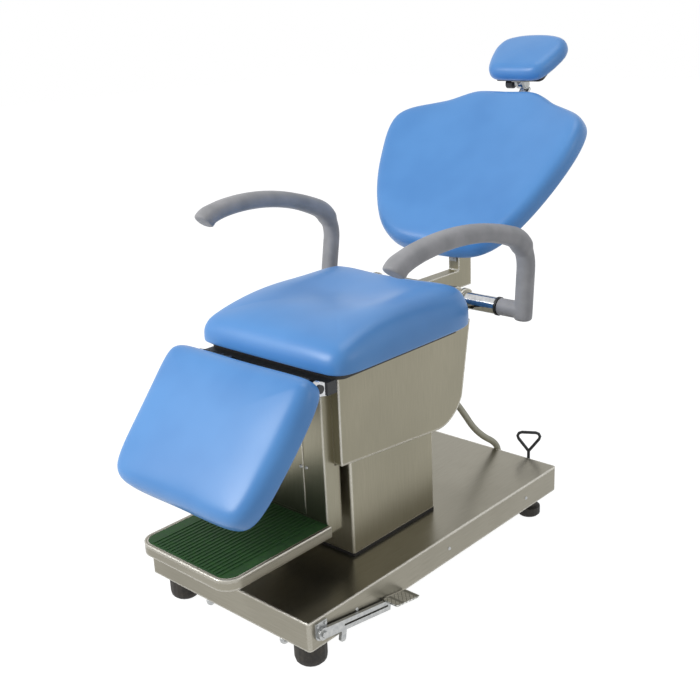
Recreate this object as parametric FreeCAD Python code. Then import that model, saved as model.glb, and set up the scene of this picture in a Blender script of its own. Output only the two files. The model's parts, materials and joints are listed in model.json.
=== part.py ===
import FreeCAD, Part
import math
import os

from FreeCAD import Vector

# Electric examination and treatment chair that reclines to a bed, in millimetres.
# The sitter faces -Y, the sitter's left is +X and the floor is z = 0.
# Every place is measured from the floor point under the middle of the base,
# and the finished pieces are moved back by BASE_SHIFT_Y so that the origin lies
# under the middle of the whole chair.
BASE_SHIFT_Y = -102.1

# Sheet, clearances and repeated hardware
SHEET = 1.5
SLIDE_GAP = 1.5
PIN_GAP = 0.05
SOFT_GAP = 0.3
SCREW_HEAD_RADIUS = 5.0
SCREW_HEAD_HEIGHT = 2.5
BOLT_RADIUS = 5.0
BOLT_HEAD_HEIGHT = 5.0

# Small round pieces are turned with flat sides
SCREW_SIDES = 8
SMALL_SIDES = 12
FOOT_SIDES = 18
ARM_SIDES = 16
HUB_SIDES = 16
BEND_STEPS = 3

# Base
BASE_WIDTH = 550.0
BASE_LENGTH = 1000.0
BASE_TOP = 141.0
BASE_HEIGHT = 71.0
BASE_CORNER = 8.0
FRAME_TUBE_WIDTH = 40.0
FRAME_TUBE_HEIGHT = 50.0
FRAME_TUBE_WALL = 3.0
FRAME_INSET = 25.0
FOOT_INSET = 54.0
FRONT_FOOT_RADIUS = 38.0
REAR_FOOT_RADIUS = 32.0
REAR_FOOT_STEP_RADIUS = 24.0
REAR_FOOT_STEP_HEIGHT = 26.0
REAR_FOOT_EDGE = 5.0
WASHER_RADIUS = 19.0
WASHER_THICKNESS = 4.0
BALL_RADIUS = 11.0
BALL_GAP = 2.0
BALL_SPACING = 260.0
BALL_INSET = 58.0
BALL_COLLAR_HEIGHT = 30.0

# Telescopic column
COLUMN_Y = -70.0
LOWER_WIDTH = 322.0
LOWER_DEPTH = 312.0
LOWER_TOP = 475.0
LOWER_CORNER = 5.0
GASKET_HEIGHT = 8.0
GASKET_INSET = 0.5
GASKET_WIDTH = 8.0
OUTER_TUBE_SIZE = 150.0
OUTER_TUBE_TOP = 430.0
INNER_TUBE_BOTTOM = 240.0
LIFT_TUBE_WALL = 5.0
GLIDE_PAD_THICKNESS = 5.0
GLIDE_PAD_HEIGHT = 40.0
LIFT_FLANGE_REACH = 25.0
LIFT_FLANGE_THICKNESS = 8.0
HEAD_PLATE_DEPTH = 200.0
HEAD_PLATE_THICKNESS = 10.0

# Upper cover, carried by the lift
UPPER_WIDTH = 332.0
UPPER_FRONT = -259.0
UPPER_TOP = 622.0
UPPER_FRONT_BOTTOM = 393.0
UPPER_REAR_BOTTOM = 361.0
UPPER_REAR_START = 98.0
UPPER_REAR_LOW_Y = 206.0
UPPER_REAR_LOW_Z = 424.0
UPPER_REAR_TOP_Y = 242.0
UPPER_REAR_BEND_Y = 180.0
UPPER_REAR_BEND_Z = 388.0
REAR_NOTCH_WIDTH = 300.0
REAR_NOTCH_BOTTOM = 548.0
REAR_NOTCH_DEPTH = 75.0

# Seat frame and cushion
RAIL_BOTTOM = 597.0
RAIL_HEIGHT = 30.0
RAIL_WIDTH = 20.0
RAIL_SPACING = 140.0
FRONT_BAR_Y = -330.0
FRONT_BAR_DEPTH = 30.0
FRONT_BAR_WIDTH = 404.0
REAR_BAR_Y = 146.0
REAR_BAR_DEPTH = 20.0
MIDDLE_BAR_Y = -62.0
MIDDLE_BAR_DEPTH = 25.0
SEAT_BOARD = 13.0
SEAT_WIDTH = 476.0
SEAT_FRONT = -327.0
SEAT_REAR = 176.0
SEAT_BOARD_INSET = 22.0
SEAT_FRONT_HEIGHT = 62.0
SEAT_MIDDLE_HEIGHT = 74.0
SEAT_REAR_HEIGHT = 98.0
SEAT_MIDDLE_Y = 62.0
SEAT_CORNER = 45.0
SEAT_EDGE = 16.0

# Cross tube behind the seat, the axis of the back and of both arms
PIVOT_Y = 242.0
PIVOT_Z = 670.0
CROSS_TUBE_RADIUS = 22.0
CROSS_TUBE_WALL = 3.0
CROSS_TUBE_END = 252.0
COLLAR_WIDTH = 6.0
COLLAR_RADIUS = 24.0
SADDLE_X = 145.0
SADDLE_THICKNESS = 10.0
SADDLE_WALL = 9.0
ARM_PIN_RADIUS = 12.0
ARM_PIN_PLUG = 50.0
ARM_PIN_REACH = 54.0

# Arms, in the side view and measured from the pivot
ARM_X = 327.0
ARM_POST_RADIUS = 23.0
ARM_ELBOW_RADIUS = 26.0
ARM_ELBOW_STEPS = 3
ARM_HEADING = 85.4
ARM_POST_LENGTH = 74.0
ARM_BENDS = [
    # radius, turn in degrees, steps
    (90.0, 75.3, 5),
    (690.0, 28.3, 2),
    (380.0, 14.0, 1),
]
ARM_FLATTEN_AFTER = 20.0
ARM_FLATTEN_TURN = 95.0
ARM_PAD_WIDTH = 54.0
ARM_PAD_HEIGHT = 34.0
ARM_TIP_INWARD = 14.0
ARM_TIP_ROUND = 14.0
RIGHT_ARM_LIFT = 4.0

# Back
BACK_RECLINE = 44.0
BACK_RECLINE_MORE = 44.0
BACK_RAISE = 30.0
BACK_START = 112.0
BACK_FACE = 52.0
BACK_THICKNESS = 58.0
BACK_HALF_WIDTH = 310.0
BACK_HEIGHT = 529.0
BACK_CURVE_RADIUS = 1150.0
BACK_BOARD = 10.0
BACK_BOARD_INSET = 28.0
BACK_PLATE = 4.0
BACK_PLATE_WIDTH = 80.0
POST_WIDTH = 34.0
POST_WALL = 4.0
POST_FRONT = 156.0
POST_REAR = 212.0
POST_ARM_HALF_HEIGHT = 25.0
HUB_WALL = 8.0
HUB_LEFT = 125.0
HUB_RIGHT = 60.0

# Headrest
HEAD_TILT = 57.0
HEAD_PIVOT_S = 696.0
HEAD_PIVOT_RISE = 17.0
HEAD_FACE = 74.5
HEAD_START = -29.0
HEAD_HEIGHT = 167.0
HEAD_HALF_WIDTH = 109.0
HEAD_THICKNESS = 46.0
HEAD_BOARD = 8.0
HEAD_BOARD_INSET = 14.0
HEAD_BAR_WIDTH = 30.0
HEAD_BAR_THICKNESS = 8.0
HEAD_BAR_LENGTH = 290.0
HEAD_GUIDE_LENGTH = 120.0
HEAD_GUIDE_START = 470.0
HEAD_GUIDE_WALL = 4.0
HEAD_KNUCKLE_RADIUS = 13.0
HEAD_KNOB_RADIUS = 13.0
HEAD_KNOB_LENGTH = 24.0
HEAD_KNOB_GAP = 11.0

# Leg rest
LEG_Y = -350.0
LEG_Z = 618.0
LEG_HANG = 49.0
LEG_RAISE = 47.0
LEG_LOWER = 40.0
LEG_FACE = 77.0
LEG_START = -3.0
LEG_LENGTH = 350.0
LEG_HALF_WIDTH = 238.0
LEG_THICKNESS = 56.0
LEG_BOTTOM_HALF_WIDTH = 229.0
LEG_TOP_CORNER = 34.0
LEG_BOTTOM_CORNER = 50.0
LEG_EDGE = 14.0
LEG_BOARD = 10.0
LEG_BOARD_INSET = 24.0
LEG_SHAFT_RADIUS = 10.0
LEG_SLEEVE_WALL = 6.0
LEG_ARM_X = 145.0
LEG_ARM_WIDTH = 30.0
LEG_ARM_THICKNESS = 15.0
LEG_BRACKET_X = 186.0
LEG_BRACKET_WIDTH = 12.0

# Linear drives under the seat, each pushing a slotted lever
DRIVE_X = 105.0
BACK_DRIVE_DROP = 62.0
LEG_DRIVE_DROP = 45.0
LEVER_PLATE = 8.0
LEVER_GAP = 20.0
LEVER_HALF_WIDTH = 13.0
DRIVE_PIN_RADIUS = 5.0
DRIVE_SLOT_PLAY = 3.0
DRIVE_ROD_RADIUS = 8.0
DRIVE_EYE_RADIUS = 9.0
DRIVE_BODY_RADIUS = 14.0
DRIVE_BODY_WALL = 4.0
DRIVE_CAP = 6.0
DRIVE_ROD_GAP = 1.0
DRIVE_ROD_LENGTH = 200.0
BACK_HOUSING_END = 130.0
LEG_HOUSING_FRONT = -230.0
LEG_HOUSING_REAR = 0.0
LEVER_ROOM = 26.0

# Front carrier and footrest
CARRIER_FRONT = -293.0
CARRIER_WIDTH = 286.0
CARRIER_BOTTOM = 222.0
CARRIER_DEEP_REAR = -243.0
FRONT_PLATE_WIDTH = 152.0
FRONT_PLATE_TOP = 530.0
FOOTREST_FRONT = -616.0
FOOTREST_WIDTH = 312.0
FOOTREST_TOP = 250.0
FOOTREST_RIM = 27.0
FOOTREST_CORNER = 42.0
FOOTREST_LIP = 9.0
MAT_THICKNESS = 4.0
MAT_RIB_HEIGHT = 1.6
MAT_RIB_PITCH = 12.0
MAT_RIB_WIDTH = 5.0

# Foot pedal on the left side of the base
PEDAL_Y = -466.0
PEDAL_Z = 106.0
PEDAL_LENGTH = 226.0
PEDAL_SLOPE = 9.5
PEDAL_HEIGHT = 26.0
PEDAL_THICKNESS = 8.0
PEDAL_GAP = 4.0
PEDAL_PAD_WIDTH = 44.0
PEDAL_PAD_LENGTH = 84.0
PEDAL_PAD_THICKNESS = 4.0

# Pull loop and conduit at the rear of the base
BASE_REAR = BASE_LENGTH / 2
LOOP_SIDE_INSET = 105.0
LOOP_STANDOFF = 22.0
LOOP_Z = 112.0
LOOP_TWIST = 30.0
LOOP_ROD_RADIUS = 4.5
LOOP_STALK = 40.0
LOOP_HEIGHT = 58.0
LOOP_HALF_WIDTH = 44.0
LOOP_CORNER = 12.0
LOOP_PIN_RADIUS = 3.0
CONDUIT_RADIUS = 9.5
GLAND_LENGTH = 20.0
CONDUIT_POINTS = [
    (72.0, 212.0, 372.0),
    (72.0, 292.0, 364.0),
    (70.0, 344.0, 304.0),
    (68.0, 391.0, 244.0),
    (66.0, BASE_REAR - 54.0, 196.0),
    (64.0, BASE_REAR + 1.0, 161.0),
    (63.0, BASE_REAR + 27.0, 127.0),
    (62.0, BASE_REAR + 30.0, 88.0),
]

X_AXIS = Vector(1, 0, 0)
Y_AXIS = Vector(0, 1, 0)
Z_AXIS = Vector(0, 0, 1)

BASE_BOTTOM = BASE_TOP - BASE_HEIGHT
BACK_PLATE_LEVEL = BACK_FACE - BACK_THICKNESS - BACK_BOARD - BACK_PLATE
HEAD_BAR_LEVEL = BACK_PLATE_LEVEL - HEAD_GUIDE_WALL - SLIDE_GAP / 10 - HEAD_BAR_THICKNESS
HEAD_PIVOT_N = HEAD_BAR_LEVEL + HEAD_BAR_THICKNESS + HEAD_PIVOT_RISE
INNER_TUBE_SIZE = OUTER_TUBE_SIZE - 2 * (LIFT_TUBE_WALL + GLIDE_PAD_THICKNESS)
LIFT_FLANGE_SIZE = OUTER_TUBE_SIZE + 2 * LIFT_FLANGE_REACH
HEAD_PLATE_WIDTH = RAIL_SPACING + RAIL_WIDTH - 4
LOOP_X = BASE_WIDTH / 2 - LOOP_SIDE_INSET
LOOP_Y = BASE_REAR + LOOP_STANDOFF
LOWER_FRONT = COLUMN_Y - LOWER_DEPTH / 2
LOWER_REAR = COLUMN_Y + LOWER_DEPTH / 2
RAIL_TOP = RAIL_BOTTOM + RAIL_HEIGHT
SEAT_BOTTOM = RAIL_TOP + SEAT_BOARD
PIVOT = Vector(0, PIVOT_Y, PIVOT_Z)
LEG_PIVOT = Vector(0, LEG_Y, LEG_Z)


# Small shape helpers

def box(x0, x1, y0, y1, z0, z1):
    return Part.makeBox(x1 - x0, y1 - y0, z1 - z0, Vector(x0, y0, z0))


def rod(radius, start, end):
    way = end.sub(start)
    return Part.makeCylinder(radius, way.Length, start, way)


def across(radius, x0, x1, y, z):
    return rod(radius, Vector(x0, y, z), Vector(x1, y, z))


def upright(radius, x, y, z0, z1):
    return rod(radius, Vector(x, y, z0), Vector(x, y, z1))


def side_plate(points, x0, x1):
    corners = [Vector(x0, y, z) for y, z in points]
    face = Part.Face(Part.makePolygon(corners + corners[:1]))
    return face.extrude(Vector(x1 - x0, 0, 0))


def flat_plate(wire, thickness):
    return Part.Face(wire).extrude(Vector(0, 0, thickness))


def rounded_box(x0, x1, y0, y1, z0, z1, radius):
    solid = box(x0, x1, y0, y1, z0, z1)
    standing = [edge for edge in solid.Edges if is_upright(edge)]
    return solid.makeFillet(radius, standing)


def is_upright(edge):
    ends = [vertex.Point for vertex in edge.Vertexes]
    way = ends[1].sub(ends[0])
    return abs(way.x) < 1e-6 and abs(way.y) < 1e-6


def joined(shapes):
    solid = shapes[0].multiFuse(shapes[1:])
    return solid.removeSplitter()


def mirrored(shape):
    return shape.mirror(Vector(0, 0, 0), X_AXIS)


def pair(shape):
    return [shape, mirrored(shape)]


def turned(shape, pivot, angle):
    copy = shape.copy()
    copy.rotate(pivot, X_AXIS, angle)
    return copy


def leaned(shape, pivot, slope):
    # Puts a shape drawn flat, with its length along Y and its height along Z,
    # on a pivot line so that the length rises at the slope in degrees.
    copy = shape.copy()
    copy.rotate(Vector(0, 0, 0), X_AXIS, slope)
    copy.translate(pivot)
    return copy


def ring(sides, radius_across, radius_up):
    # Evenly spaced corners around the origin.
    corners = []
    for index in range(sides):
        angle = 2 * math.pi * (index + 0.5) / sides
        corners.append(Vector(radius_across * math.cos(angle), radius_up * math.sin(angle), 0))
    return corners


def closed(corners):
    return Part.makePolygon(corners + corners[:1])


def polygon(sides, radius_across, radius_up):
    return closed(ring(sides, radius_across, radius_up))


def aimed(shape, place, way):
    # Turns a shape that stands on the origin along Z to point a given way from a place.
    copy = shape.copy()
    copy.Placement = FreeCAD.Placement(place, FreeCAD.Rotation(Z_AXIS, way))
    return copy


def faceted_rod(radius, start, end, sides=SMALL_SIDES):
    way = end.sub(start)
    face = Part.Face(polygon(sides, radius, radius))
    return aimed(face.extrude(Vector(0, 0, way.Length)), start, way)


def faceted_across(radius, x0, x1, y, z, sides=SMALL_SIDES):
    return faceted_rod(radius, Vector(x0, y, z), Vector(x1, y, z), sides)


def turning(profile, sides):
    # A turned piece with flat sides: one ring of corners for each radius and height.
    rings = []
    for radius, height in profile:
        rings.append([corner.add(Vector(0, 0, height)) for corner in ring(sides, radius, radius)])
    faces = [Part.Face(closed(rings[0])), Part.Face(closed(rings[-1]))]
    for low, high in zip(rings, rings[1:]):
        for index in range(sides):
            after = (index + 1) % sides
            faces.append(Part.Face(closed([low[index], low[after], high[after], high[index]])))
    solid = Part.Solid(Part.Shell(faces))
    return solid if solid.Volume > 0 else solid.reversed()


def turned_piece(profile, x, y, sides):
    piece = turning(profile, sides)
    piece.translate(Vector(x, y, 0))
    return piece


def screw(place, outward):
    head = turning([(SCREW_HEAD_RADIUS, 0), (SCREW_HEAD_RADIUS * 0.7, SCREW_HEAD_HEIGHT)], SCREW_SIDES)
    return aimed(head, place, outward)


def hexagon_head(place, outward, radius=BOLT_RADIUS * 1.6, height=BOLT_HEAD_HEIGHT):
    return aimed(turning([(radius, 0), (radius, height)], 6), place, outward)


def save(name, shapes):
    moved = []
    for shape in shapes:
        copy = shape.copy()
        copy.translate(Vector(0, BASE_SHIFT_Y, 0))
        moved.extend(copy.Solids)
    Part.makeCompound(moved).exportStep("parts/" + name + ".step")


# Base: a folded stainless cover over a welded tube frame on four rubber feet

SIDE_SCREW_Y = [-347.0, 0.0, 347.0]
SIDE_SCREW_Z = 103.0


def side_screws():
    places = [Vector(BASE_WIDTH / 2, y, SIDE_SCREW_Z) for y in SIDE_SCREW_Y]
    shapes = []
    for place in places:
        shapes.extend(pair(screw(place, Vector(1, 0, 0))))
    return shapes


def base_cover():
    half_width = BASE_WIDTH / 2
    half_length = BASE_LENGTH / 2
    outer = rounded_box(-half_width, half_width, -half_length, half_length, BASE_BOTTOM, BASE_TOP, BASE_CORNER)
    inner = rounded_box(-half_width + SHEET, half_width - SHEET, -half_length + SHEET, half_length - SHEET,
                        BASE_BOTTOM - SHEET, BASE_TOP - SHEET, BASE_CORNER - SHEET)
    return outer.cut(inner)


def frame_tube(x0, x1, y0, y1):
    top = BASE_TOP - SHEET
    bottom = top - FRAME_TUBE_HEIGHT
    outer = box(x0, x1, y0, y1, bottom, top)
    wall = FRAME_TUBE_WALL
    if x1 - x0 > y1 - y0:
        return outer.cut(box(x0, x1, y0 + wall, y1 - wall, bottom + wall, top - wall))
    return outer.cut(box(x0 + wall, x1 - wall, y0, y1, bottom + wall, top - wall))


def base_frame():
    rail_x = BASE_WIDTH / 2 - FRAME_INSET
    reach = BASE_LENGTH / 2 - FRAME_INSET
    rails = [
        frame_tube(-rail_x, -rail_x + FRAME_TUBE_WIDTH, -reach, reach),
        frame_tube(rail_x - FRAME_TUBE_WIDTH, rail_x, -reach, reach),
    ]
    inner_x = rail_x - FRAME_TUBE_WIDTH
    half_flange = LIFT_FLANGE_SIZE / 2
    for y in (-reach, COLUMN_Y - half_flange, COLUMN_Y + half_flange - FRAME_TUBE_WIDTH, reach - FRAME_TUBE_WIDTH):
        rails.append(frame_tube(-inner_x, inner_x, y, y + FRAME_TUBE_WIDTH))
    return joined(rails)


def foot_places():
    x = BASE_WIDTH / 2 - FOOT_INSET
    y = BASE_LENGTH / 2 - FOOT_INSET
    return [(x, y), (-x, y)]


def foot_seat():
    return BASE_TOP - SHEET - FRAME_TUBE_HEIGHT


def front_foot(x, y):
    # A rubber cup with a round lower edge.
    round_radius = FRONT_FOOT_RADIUS * 0.45
    profile = []
    for angle in (0, 30, 60, 90):
        turn = math.radians(angle)
        ring = FRONT_FOOT_RADIUS - round_radius * (1 - math.sin(turn))
        profile.append((ring, round_radius * (1 - math.cos(turn))))
    profile.append((FRONT_FOOT_RADIUS, foot_seat() - WASHER_THICKNESS))
    return turned_piece(profile, x, y, FOOT_SIDES)


def rear_foot(x, y):
    edge = REAR_FOOT_EDGE
    profile = [(REAR_FOOT_RADIUS - edge, 0), (REAR_FOOT_RADIUS, edge), (REAR_FOOT_RADIUS, REAR_FOOT_STEP_HEIGHT),
               (REAR_FOOT_STEP_RADIUS, REAR_FOOT_STEP_HEIGHT + edge),
               (REAR_FOOT_STEP_RADIUS, foot_seat() - WASHER_THICKNESS)]
    return turned_piece(profile, x, y, FOOT_SIDES)


def foot_washers():
    seat = foot_seat()
    profile = [(WASHER_RADIUS, seat - WASHER_THICKNESS), (WASHER_RADIUS, seat)]
    washers = []
    for x, y in foot_places():
        for place_y in (-y, y):
            washers.append(turned_piece(profile, x, place_y, SMALL_SIDES))
    return washers


def transport_ball(x):
    # A ball under a round collar, hung from the frame beside the front foot.
    seat = foot_seat()
    centre = BALL_RADIUS + BALL_GAP
    profile = []
    for angle in (-60, -30, 0, 30):
        turn = math.radians(angle)
        profile.append((BALL_RADIUS * math.cos(turn), centre + BALL_RADIUS * math.sin(turn)))
    stem = BALL_RADIUS * 0.6
    collar = BALL_RADIUS * 1.3
    low = seat - BALL_COLLAR_HEIGHT
    profile.extend([(stem, centre + BALL_RADIUS * 0.8), (stem, low), (collar, low), (collar, seat)])
    return turned_piece(profile, x, -BASE_LENGTH / 2 + BALL_INSET, SMALL_SIDES)


def rounded_ring(x0, x1, y0, y1, z0, z1, radius, wall):
    outer = rounded_box(x0, x1, y0, y1, z0, z1, radius)
    inner = rounded_box(x0 + wall, x1 - wall, y0 + wall, y1 - wall, z0 - 1, z1 + 1, max(radius - wall, 1.0))
    return outer.cut(inner)


# Column: gasket, lower cover and the telescopic lift inside it

def column_gasket():
    half = LOWER_WIDTH / 2 - GASKET_INSET
    front = LOWER_FRONT + GASKET_INSET
    rear = LOWER_REAR - GASKET_INSET
    top = BASE_TOP + GASKET_HEIGHT
    inner = half - GASKET_WIDTH
    outer = box(-half, half, front, rear, BASE_TOP, top)
    return outer.cut(box(-inner, inner, front + GASKET_WIDTH, rear - GASKET_WIDTH, BASE_TOP - 1, top + 1))


def lower_cover():
    half = LOWER_WIDTH / 2
    return rounded_ring(-half, half, LOWER_FRONT, LOWER_REAR, BASE_TOP + GASKET_HEIGHT, LOWER_TOP, LOWER_CORNER, SHEET)


def square_tube(size, z0, z1):
    half = size / 2
    inner = half - LIFT_TUBE_WALL
    outer = box(-half, half, COLUMN_Y - half, COLUMN_Y + half, z0, z1)
    return outer.cut(box(-inner, inner, COLUMN_Y - inner, COLUMN_Y + inner, z0 - 1, z1 + 1))


def lift_outer_tube():
    half = LIFT_FLANGE_SIZE / 2
    flange = box(-half, half, COLUMN_Y - half, COLUMN_Y + half, BASE_TOP, BASE_TOP + LIFT_FLANGE_THICKNESS)
    return flange.fuse(square_tube(OUTER_TUBE_SIZE, BASE_TOP + LIFT_FLANGE_THICKNESS, OUTER_TUBE_TOP))


def glide_pads():
    outer = OUTER_TUBE_SIZE / 2 - LIFT_TUBE_WALL
    inner = INNER_TUBE_SIZE / 2 + SLIDE_GAP / 10
    half = INNER_TUBE_SIZE * 0.25
    top = OUTER_TUBE_TOP
    low = top - GLIDE_PAD_HEIGHT
    pad = box(inner, outer, COLUMN_Y - half, COLUMN_Y + half, low, top)
    front = box(-half, half, COLUMN_Y - outer, COLUMN_Y - inner, low, top)
    rear = box(-half, half, COLUMN_Y + inner, COLUMN_Y + outer, low, top)
    return pair(pad) + [front, rear]


def flange_bolts():
    reach = LIFT_FLANGE_SIZE / 2 - 12
    top = BASE_TOP + LIFT_FLANGE_THICKNESS
    shapes = []
    for x in (-reach, reach):
        for y in (COLUMN_Y - reach, COLUMN_Y + reach):
            shapes.append(hexagon_head(Vector(x, y, top), Z_AXIS))
    return shapes


def lift_inner_tube():
    half_width = HEAD_PLATE_WIDTH / 2
    half_depth = HEAD_PLATE_DEPTH / 2
    bottom = RAIL_BOTTOM - HEAD_PLATE_THICKNESS
    plate = box(-half_width, half_width, COLUMN_Y - half_depth, COLUMN_Y + half_depth, bottom, RAIL_BOTTOM)
    return plate.fuse(square_tube(INNER_TUBE_SIZE, INNER_TUBE_BOTTOM, bottom))


def lift_motor():
    y = COLUMN_Y + OUTER_TUBE_SIZE / 2 + 34
    floor = BASE_TOP + LIFT_FLANGE_THICKNESS
    body = faceted_rod(28, Vector(0, y, floor + 22), Vector(0, y, 330), FOOT_SIDES)
    gearbox = box(-34, 34, y - 34, y + 28, floor, floor + 26)
    return body.fuse(gearbox)


def control_box():
    x = OUTER_TUBE_SIZE / 2
    return rounded_box(x, x + 62, COLUMN_Y - 70, COLUMN_Y + 70, BASE_TOP + GASKET_HEIGHT + 15, 320, 4)


# Upper cover: two cheeks with a swept rear lower edge, a front wall and a rear wall

def upper_profile(inset):
    # The wall inset moves every side inward; the top stays open.
    front = Vector(0, UPPER_FRONT + inset, UPPER_FRONT_BOTTOM + inset)
    low = Vector(0, UPPER_REAR_START, UPPER_REAR_BOTTOM + inset)
    bend = Vector(0, UPPER_REAR_BEND_Y - inset * 0.7, UPPER_REAR_BEND_Z + inset * 0.7)
    high = Vector(0, UPPER_REAR_LOW_Y - inset, UPPER_REAR_LOW_Z)
    top = UPPER_TOP + (1 if inset else 0)
    top_rear = Vector(0, UPPER_REAR_TOP_Y - inset, top)
    top_front = Vector(0, UPPER_FRONT + inset, top)
    edges = [
        Part.LineSegment(front, low).toShape(),
        Part.Arc(low, bend, high).toShape(),
        Part.LineSegment(high, top_rear).toShape(),
        Part.LineSegment(top_rear, top_front).toShape(),
        Part.LineSegment(top_front, front).toShape(),
    ]
    return Part.Face(Part.Wire(edges))


COVER_SCREW_Y = [-190.0, -15.0, 125.0]
COVER_SCREW_Z = 608.0


def upper_cover():
    half = UPPER_WIDTH / 2
    outer = upper_profile(0)
    outer.translate(Vector(-half, 0, 0))
    inner = upper_profile(SHEET)
    inner.translate(Vector(-half + SHEET, 0, 0))
    cover = outer.extrude(Vector(UPPER_WIDTH, 0, 0)).cut(inner.extrude(Vector(UPPER_WIDTH - 2 * SHEET, 0, 0)))
    opening = box(-LOWER_WIDTH / 2 - SLIDE_GAP, LOWER_WIDTH / 2 + SLIDE_GAP, LOWER_FRONT - SLIDE_GAP,
                  LOWER_REAR + SLIDE_GAP, UPPER_REAR_BOTTOM - 20, UPPER_FRONT_BOTTOM + 20)
    front_notch = box(-half + 2 * SHEET, half - 2 * SHEET, UPPER_FRONT - 1, UPPER_FRONT + 20,
                      RAIL_BOTTOM - SHEET, UPPER_TOP + 1)
    rear_notch = box(-REAR_NOTCH_WIDTH / 2, REAR_NOTCH_WIDTH / 2, UPPER_REAR_TOP_Y - REAR_NOTCH_DEPTH,
                     UPPER_REAR_TOP_Y + 1, REAR_NOTCH_BOTTOM, UPPER_TOP + 1)
    rod_z = LEG_Z - LEG_DRIVE_DROP
    rod_hole = box(-DRIVE_X - DRIVE_BODY_RADIUS, -DRIVE_X + DRIVE_BODY_RADIUS, UPPER_FRONT - 5, UPPER_FRONT + 5,
                   rod_z - DRIVE_BODY_RADIUS, rod_z + DRIVE_BODY_RADIUS)
    gland_hole = conduit_plug(CONDUIT_RADIUS + 2.0, 0)
    return cover.cut(opening).cut(front_notch).cut(rear_notch).cut(rod_hole).cut(gland_hole)


def cover_screws():
    shapes = []
    for y in COVER_SCREW_Y:
        shapes.extend(pair(screw(Vector(UPPER_WIDTH / 2, y, COVER_SCREW_Z), Vector(1, 0, 0))))
    return shapes


# Seat frame, board and cushion

def seat_frame():
    half_rail = RAIL_WIDTH / 2
    rail_x = RAIL_SPACING / 2
    rail_rear = REAR_BAR_Y + REAR_BAR_DEPTH
    rail = box(rail_x - half_rail, rail_x + half_rail, FRONT_BAR_Y, rail_rear, RAIL_BOTTOM, RAIL_TOP)
    front = box(-FRONT_BAR_WIDTH / 2, FRONT_BAR_WIDTH / 2, FRONT_BAR_Y, FRONT_BAR_Y + FRONT_BAR_DEPTH,
                RAIL_BOTTOM, RAIL_TOP)
    inner = UPPER_WIDTH / 2 - SHEET
    middle = box(-inner, inner, MIDDLE_BAR_Y, MIDDLE_BAR_Y + MIDDLE_BAR_DEPTH, RAIL_BOTTOM, RAIL_TOP)
    rear = box(-inner, inner, REAR_BAR_Y, rail_rear, RAIL_BOTTOM, RAIL_TOP)
    frame = joined(pair(rail) + [front, middle, rear])
    hole = faceted_rod(DRIVE_ROD_RADIUS + 2, Vector(DRIVE_X, REAR_BAR_Y - 1, PIVOT_Z - BACK_DRIVE_DROP),
                       Vector(DRIVE_X, rail_rear + 1, PIVOT_Z - BACK_DRIVE_DROP))
    lever_notch = box(-DRIVE_X - LEVER_ROOM, -DRIVE_X + LEVER_ROOM, FRONT_BAR_Y - 1,
                      FRONT_BAR_Y + FRONT_BAR_DEPTH - 6, RAIL_BOTTOM - 1, RAIL_TOP - 8)
    return frame.cut(hole).cut(lever_notch)


def seat_board():
    half = SEAT_WIDTH / 2 - SEAT_BOARD_INSET
    return rounded_box(-half, half, SEAT_FRONT + SEAT_BOARD_INSET, SEAT_REAR - 2 * SEAT_BOARD_INSET,
                       RAIL_TOP, SEAT_BOTTOM, SEAT_CORNER - SEAT_BOARD_INSET)


def seat_cushion():
    bottom = SEAT_BOTTOM
    edge = SEAT_EDGE
    front_low = Vector(0, SEAT_FRONT + 4, bottom)
    front_nose = Vector(0, SEAT_FRONT, bottom + 16)
    front_high = Vector(0, SEAT_FRONT, bottom + SEAT_FRONT_HEIGHT - edge)
    front_top = Vector(0, SEAT_FRONT + edge, bottom + SEAT_FRONT_HEIGHT)
    middle = Vector(0, SEAT_MIDDLE_Y, bottom + SEAT_MIDDLE_HEIGHT)
    rear_top = Vector(0, SEAT_REAR - edge, bottom + SEAT_REAR_HEIGHT)
    rear_high = Vector(0, SEAT_REAR, bottom + SEAT_REAR_HEIGHT - edge)
    rear_low = Vector(0, SEAT_REAR, bottom)
    points = [front_low, front_nose, front_high, front_top, middle, rear_top, rear_high, rear_low]
    half = SEAT_WIDTH / 2
    block = side_plate([(point.y, point.z) for point in points], -half, half)
    plan = rounded_box(-half, half, SEAT_FRONT - 1, SEAT_REAR + 1, bottom - 1, bottom + 2 * SEAT_REAR_HEIGHT, SEAT_CORNER)
    return block.common(plan)


# Front carrier and footrest

def carrier_panel():
    half = CARRIER_WIDTH / 2
    top = RAIL_BOTTOM
    front = box(-half, half, CARRIER_FRONT, CARRIER_FRONT + SHEET, CARRIER_BOTTOM, top)
    cheek = box(half - SHEET, half, CARRIER_FRONT, UPPER_FRONT, CARRIER_BOTTOM, top)
    deep = box(half - SHEET, half, CARRIER_FRONT, CARRIER_DEEP_REAR, CARRIER_BOTTOM, UPPER_FRONT_BOTTOM - 4)
    lip = box(-half, half, CARRIER_FRONT, UPPER_FRONT, top - SHEET, top)
    panel = joined([front, lip] + pair(cheek.fuse(deep)))
    low = LEG_Z - LEG_DRIVE_DROP - 40
    left = -DRIVE_X - LEVER_ROOM
    right = -DRIVE_X + LEVER_ROOM
    window = box(left, right, CARRIER_FRONT - 1, CARRIER_FRONT + SHEET + 1, low, top + 1)
    hole = box(left, right, CARRIER_FRONT - 1, UPPER_FRONT + 1, top - SHEET - 1, top + 1)
    return panel.cut(window).cut(hole)


PLATE_SCREW_X = [FRONT_PLATE_WIDTH / 2 - 8, FRONT_PLATE_WIDTH / 2 + 8]
PLATE_SCREW_Z = 380.0


def front_plate():
    half = FRONT_PLATE_WIDTH / 2
    return box(-half, half, CARRIER_FRONT - SHEET, CARRIER_FRONT, FOOTREST_TOP + 6, FRONT_PLATE_TOP)


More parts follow.
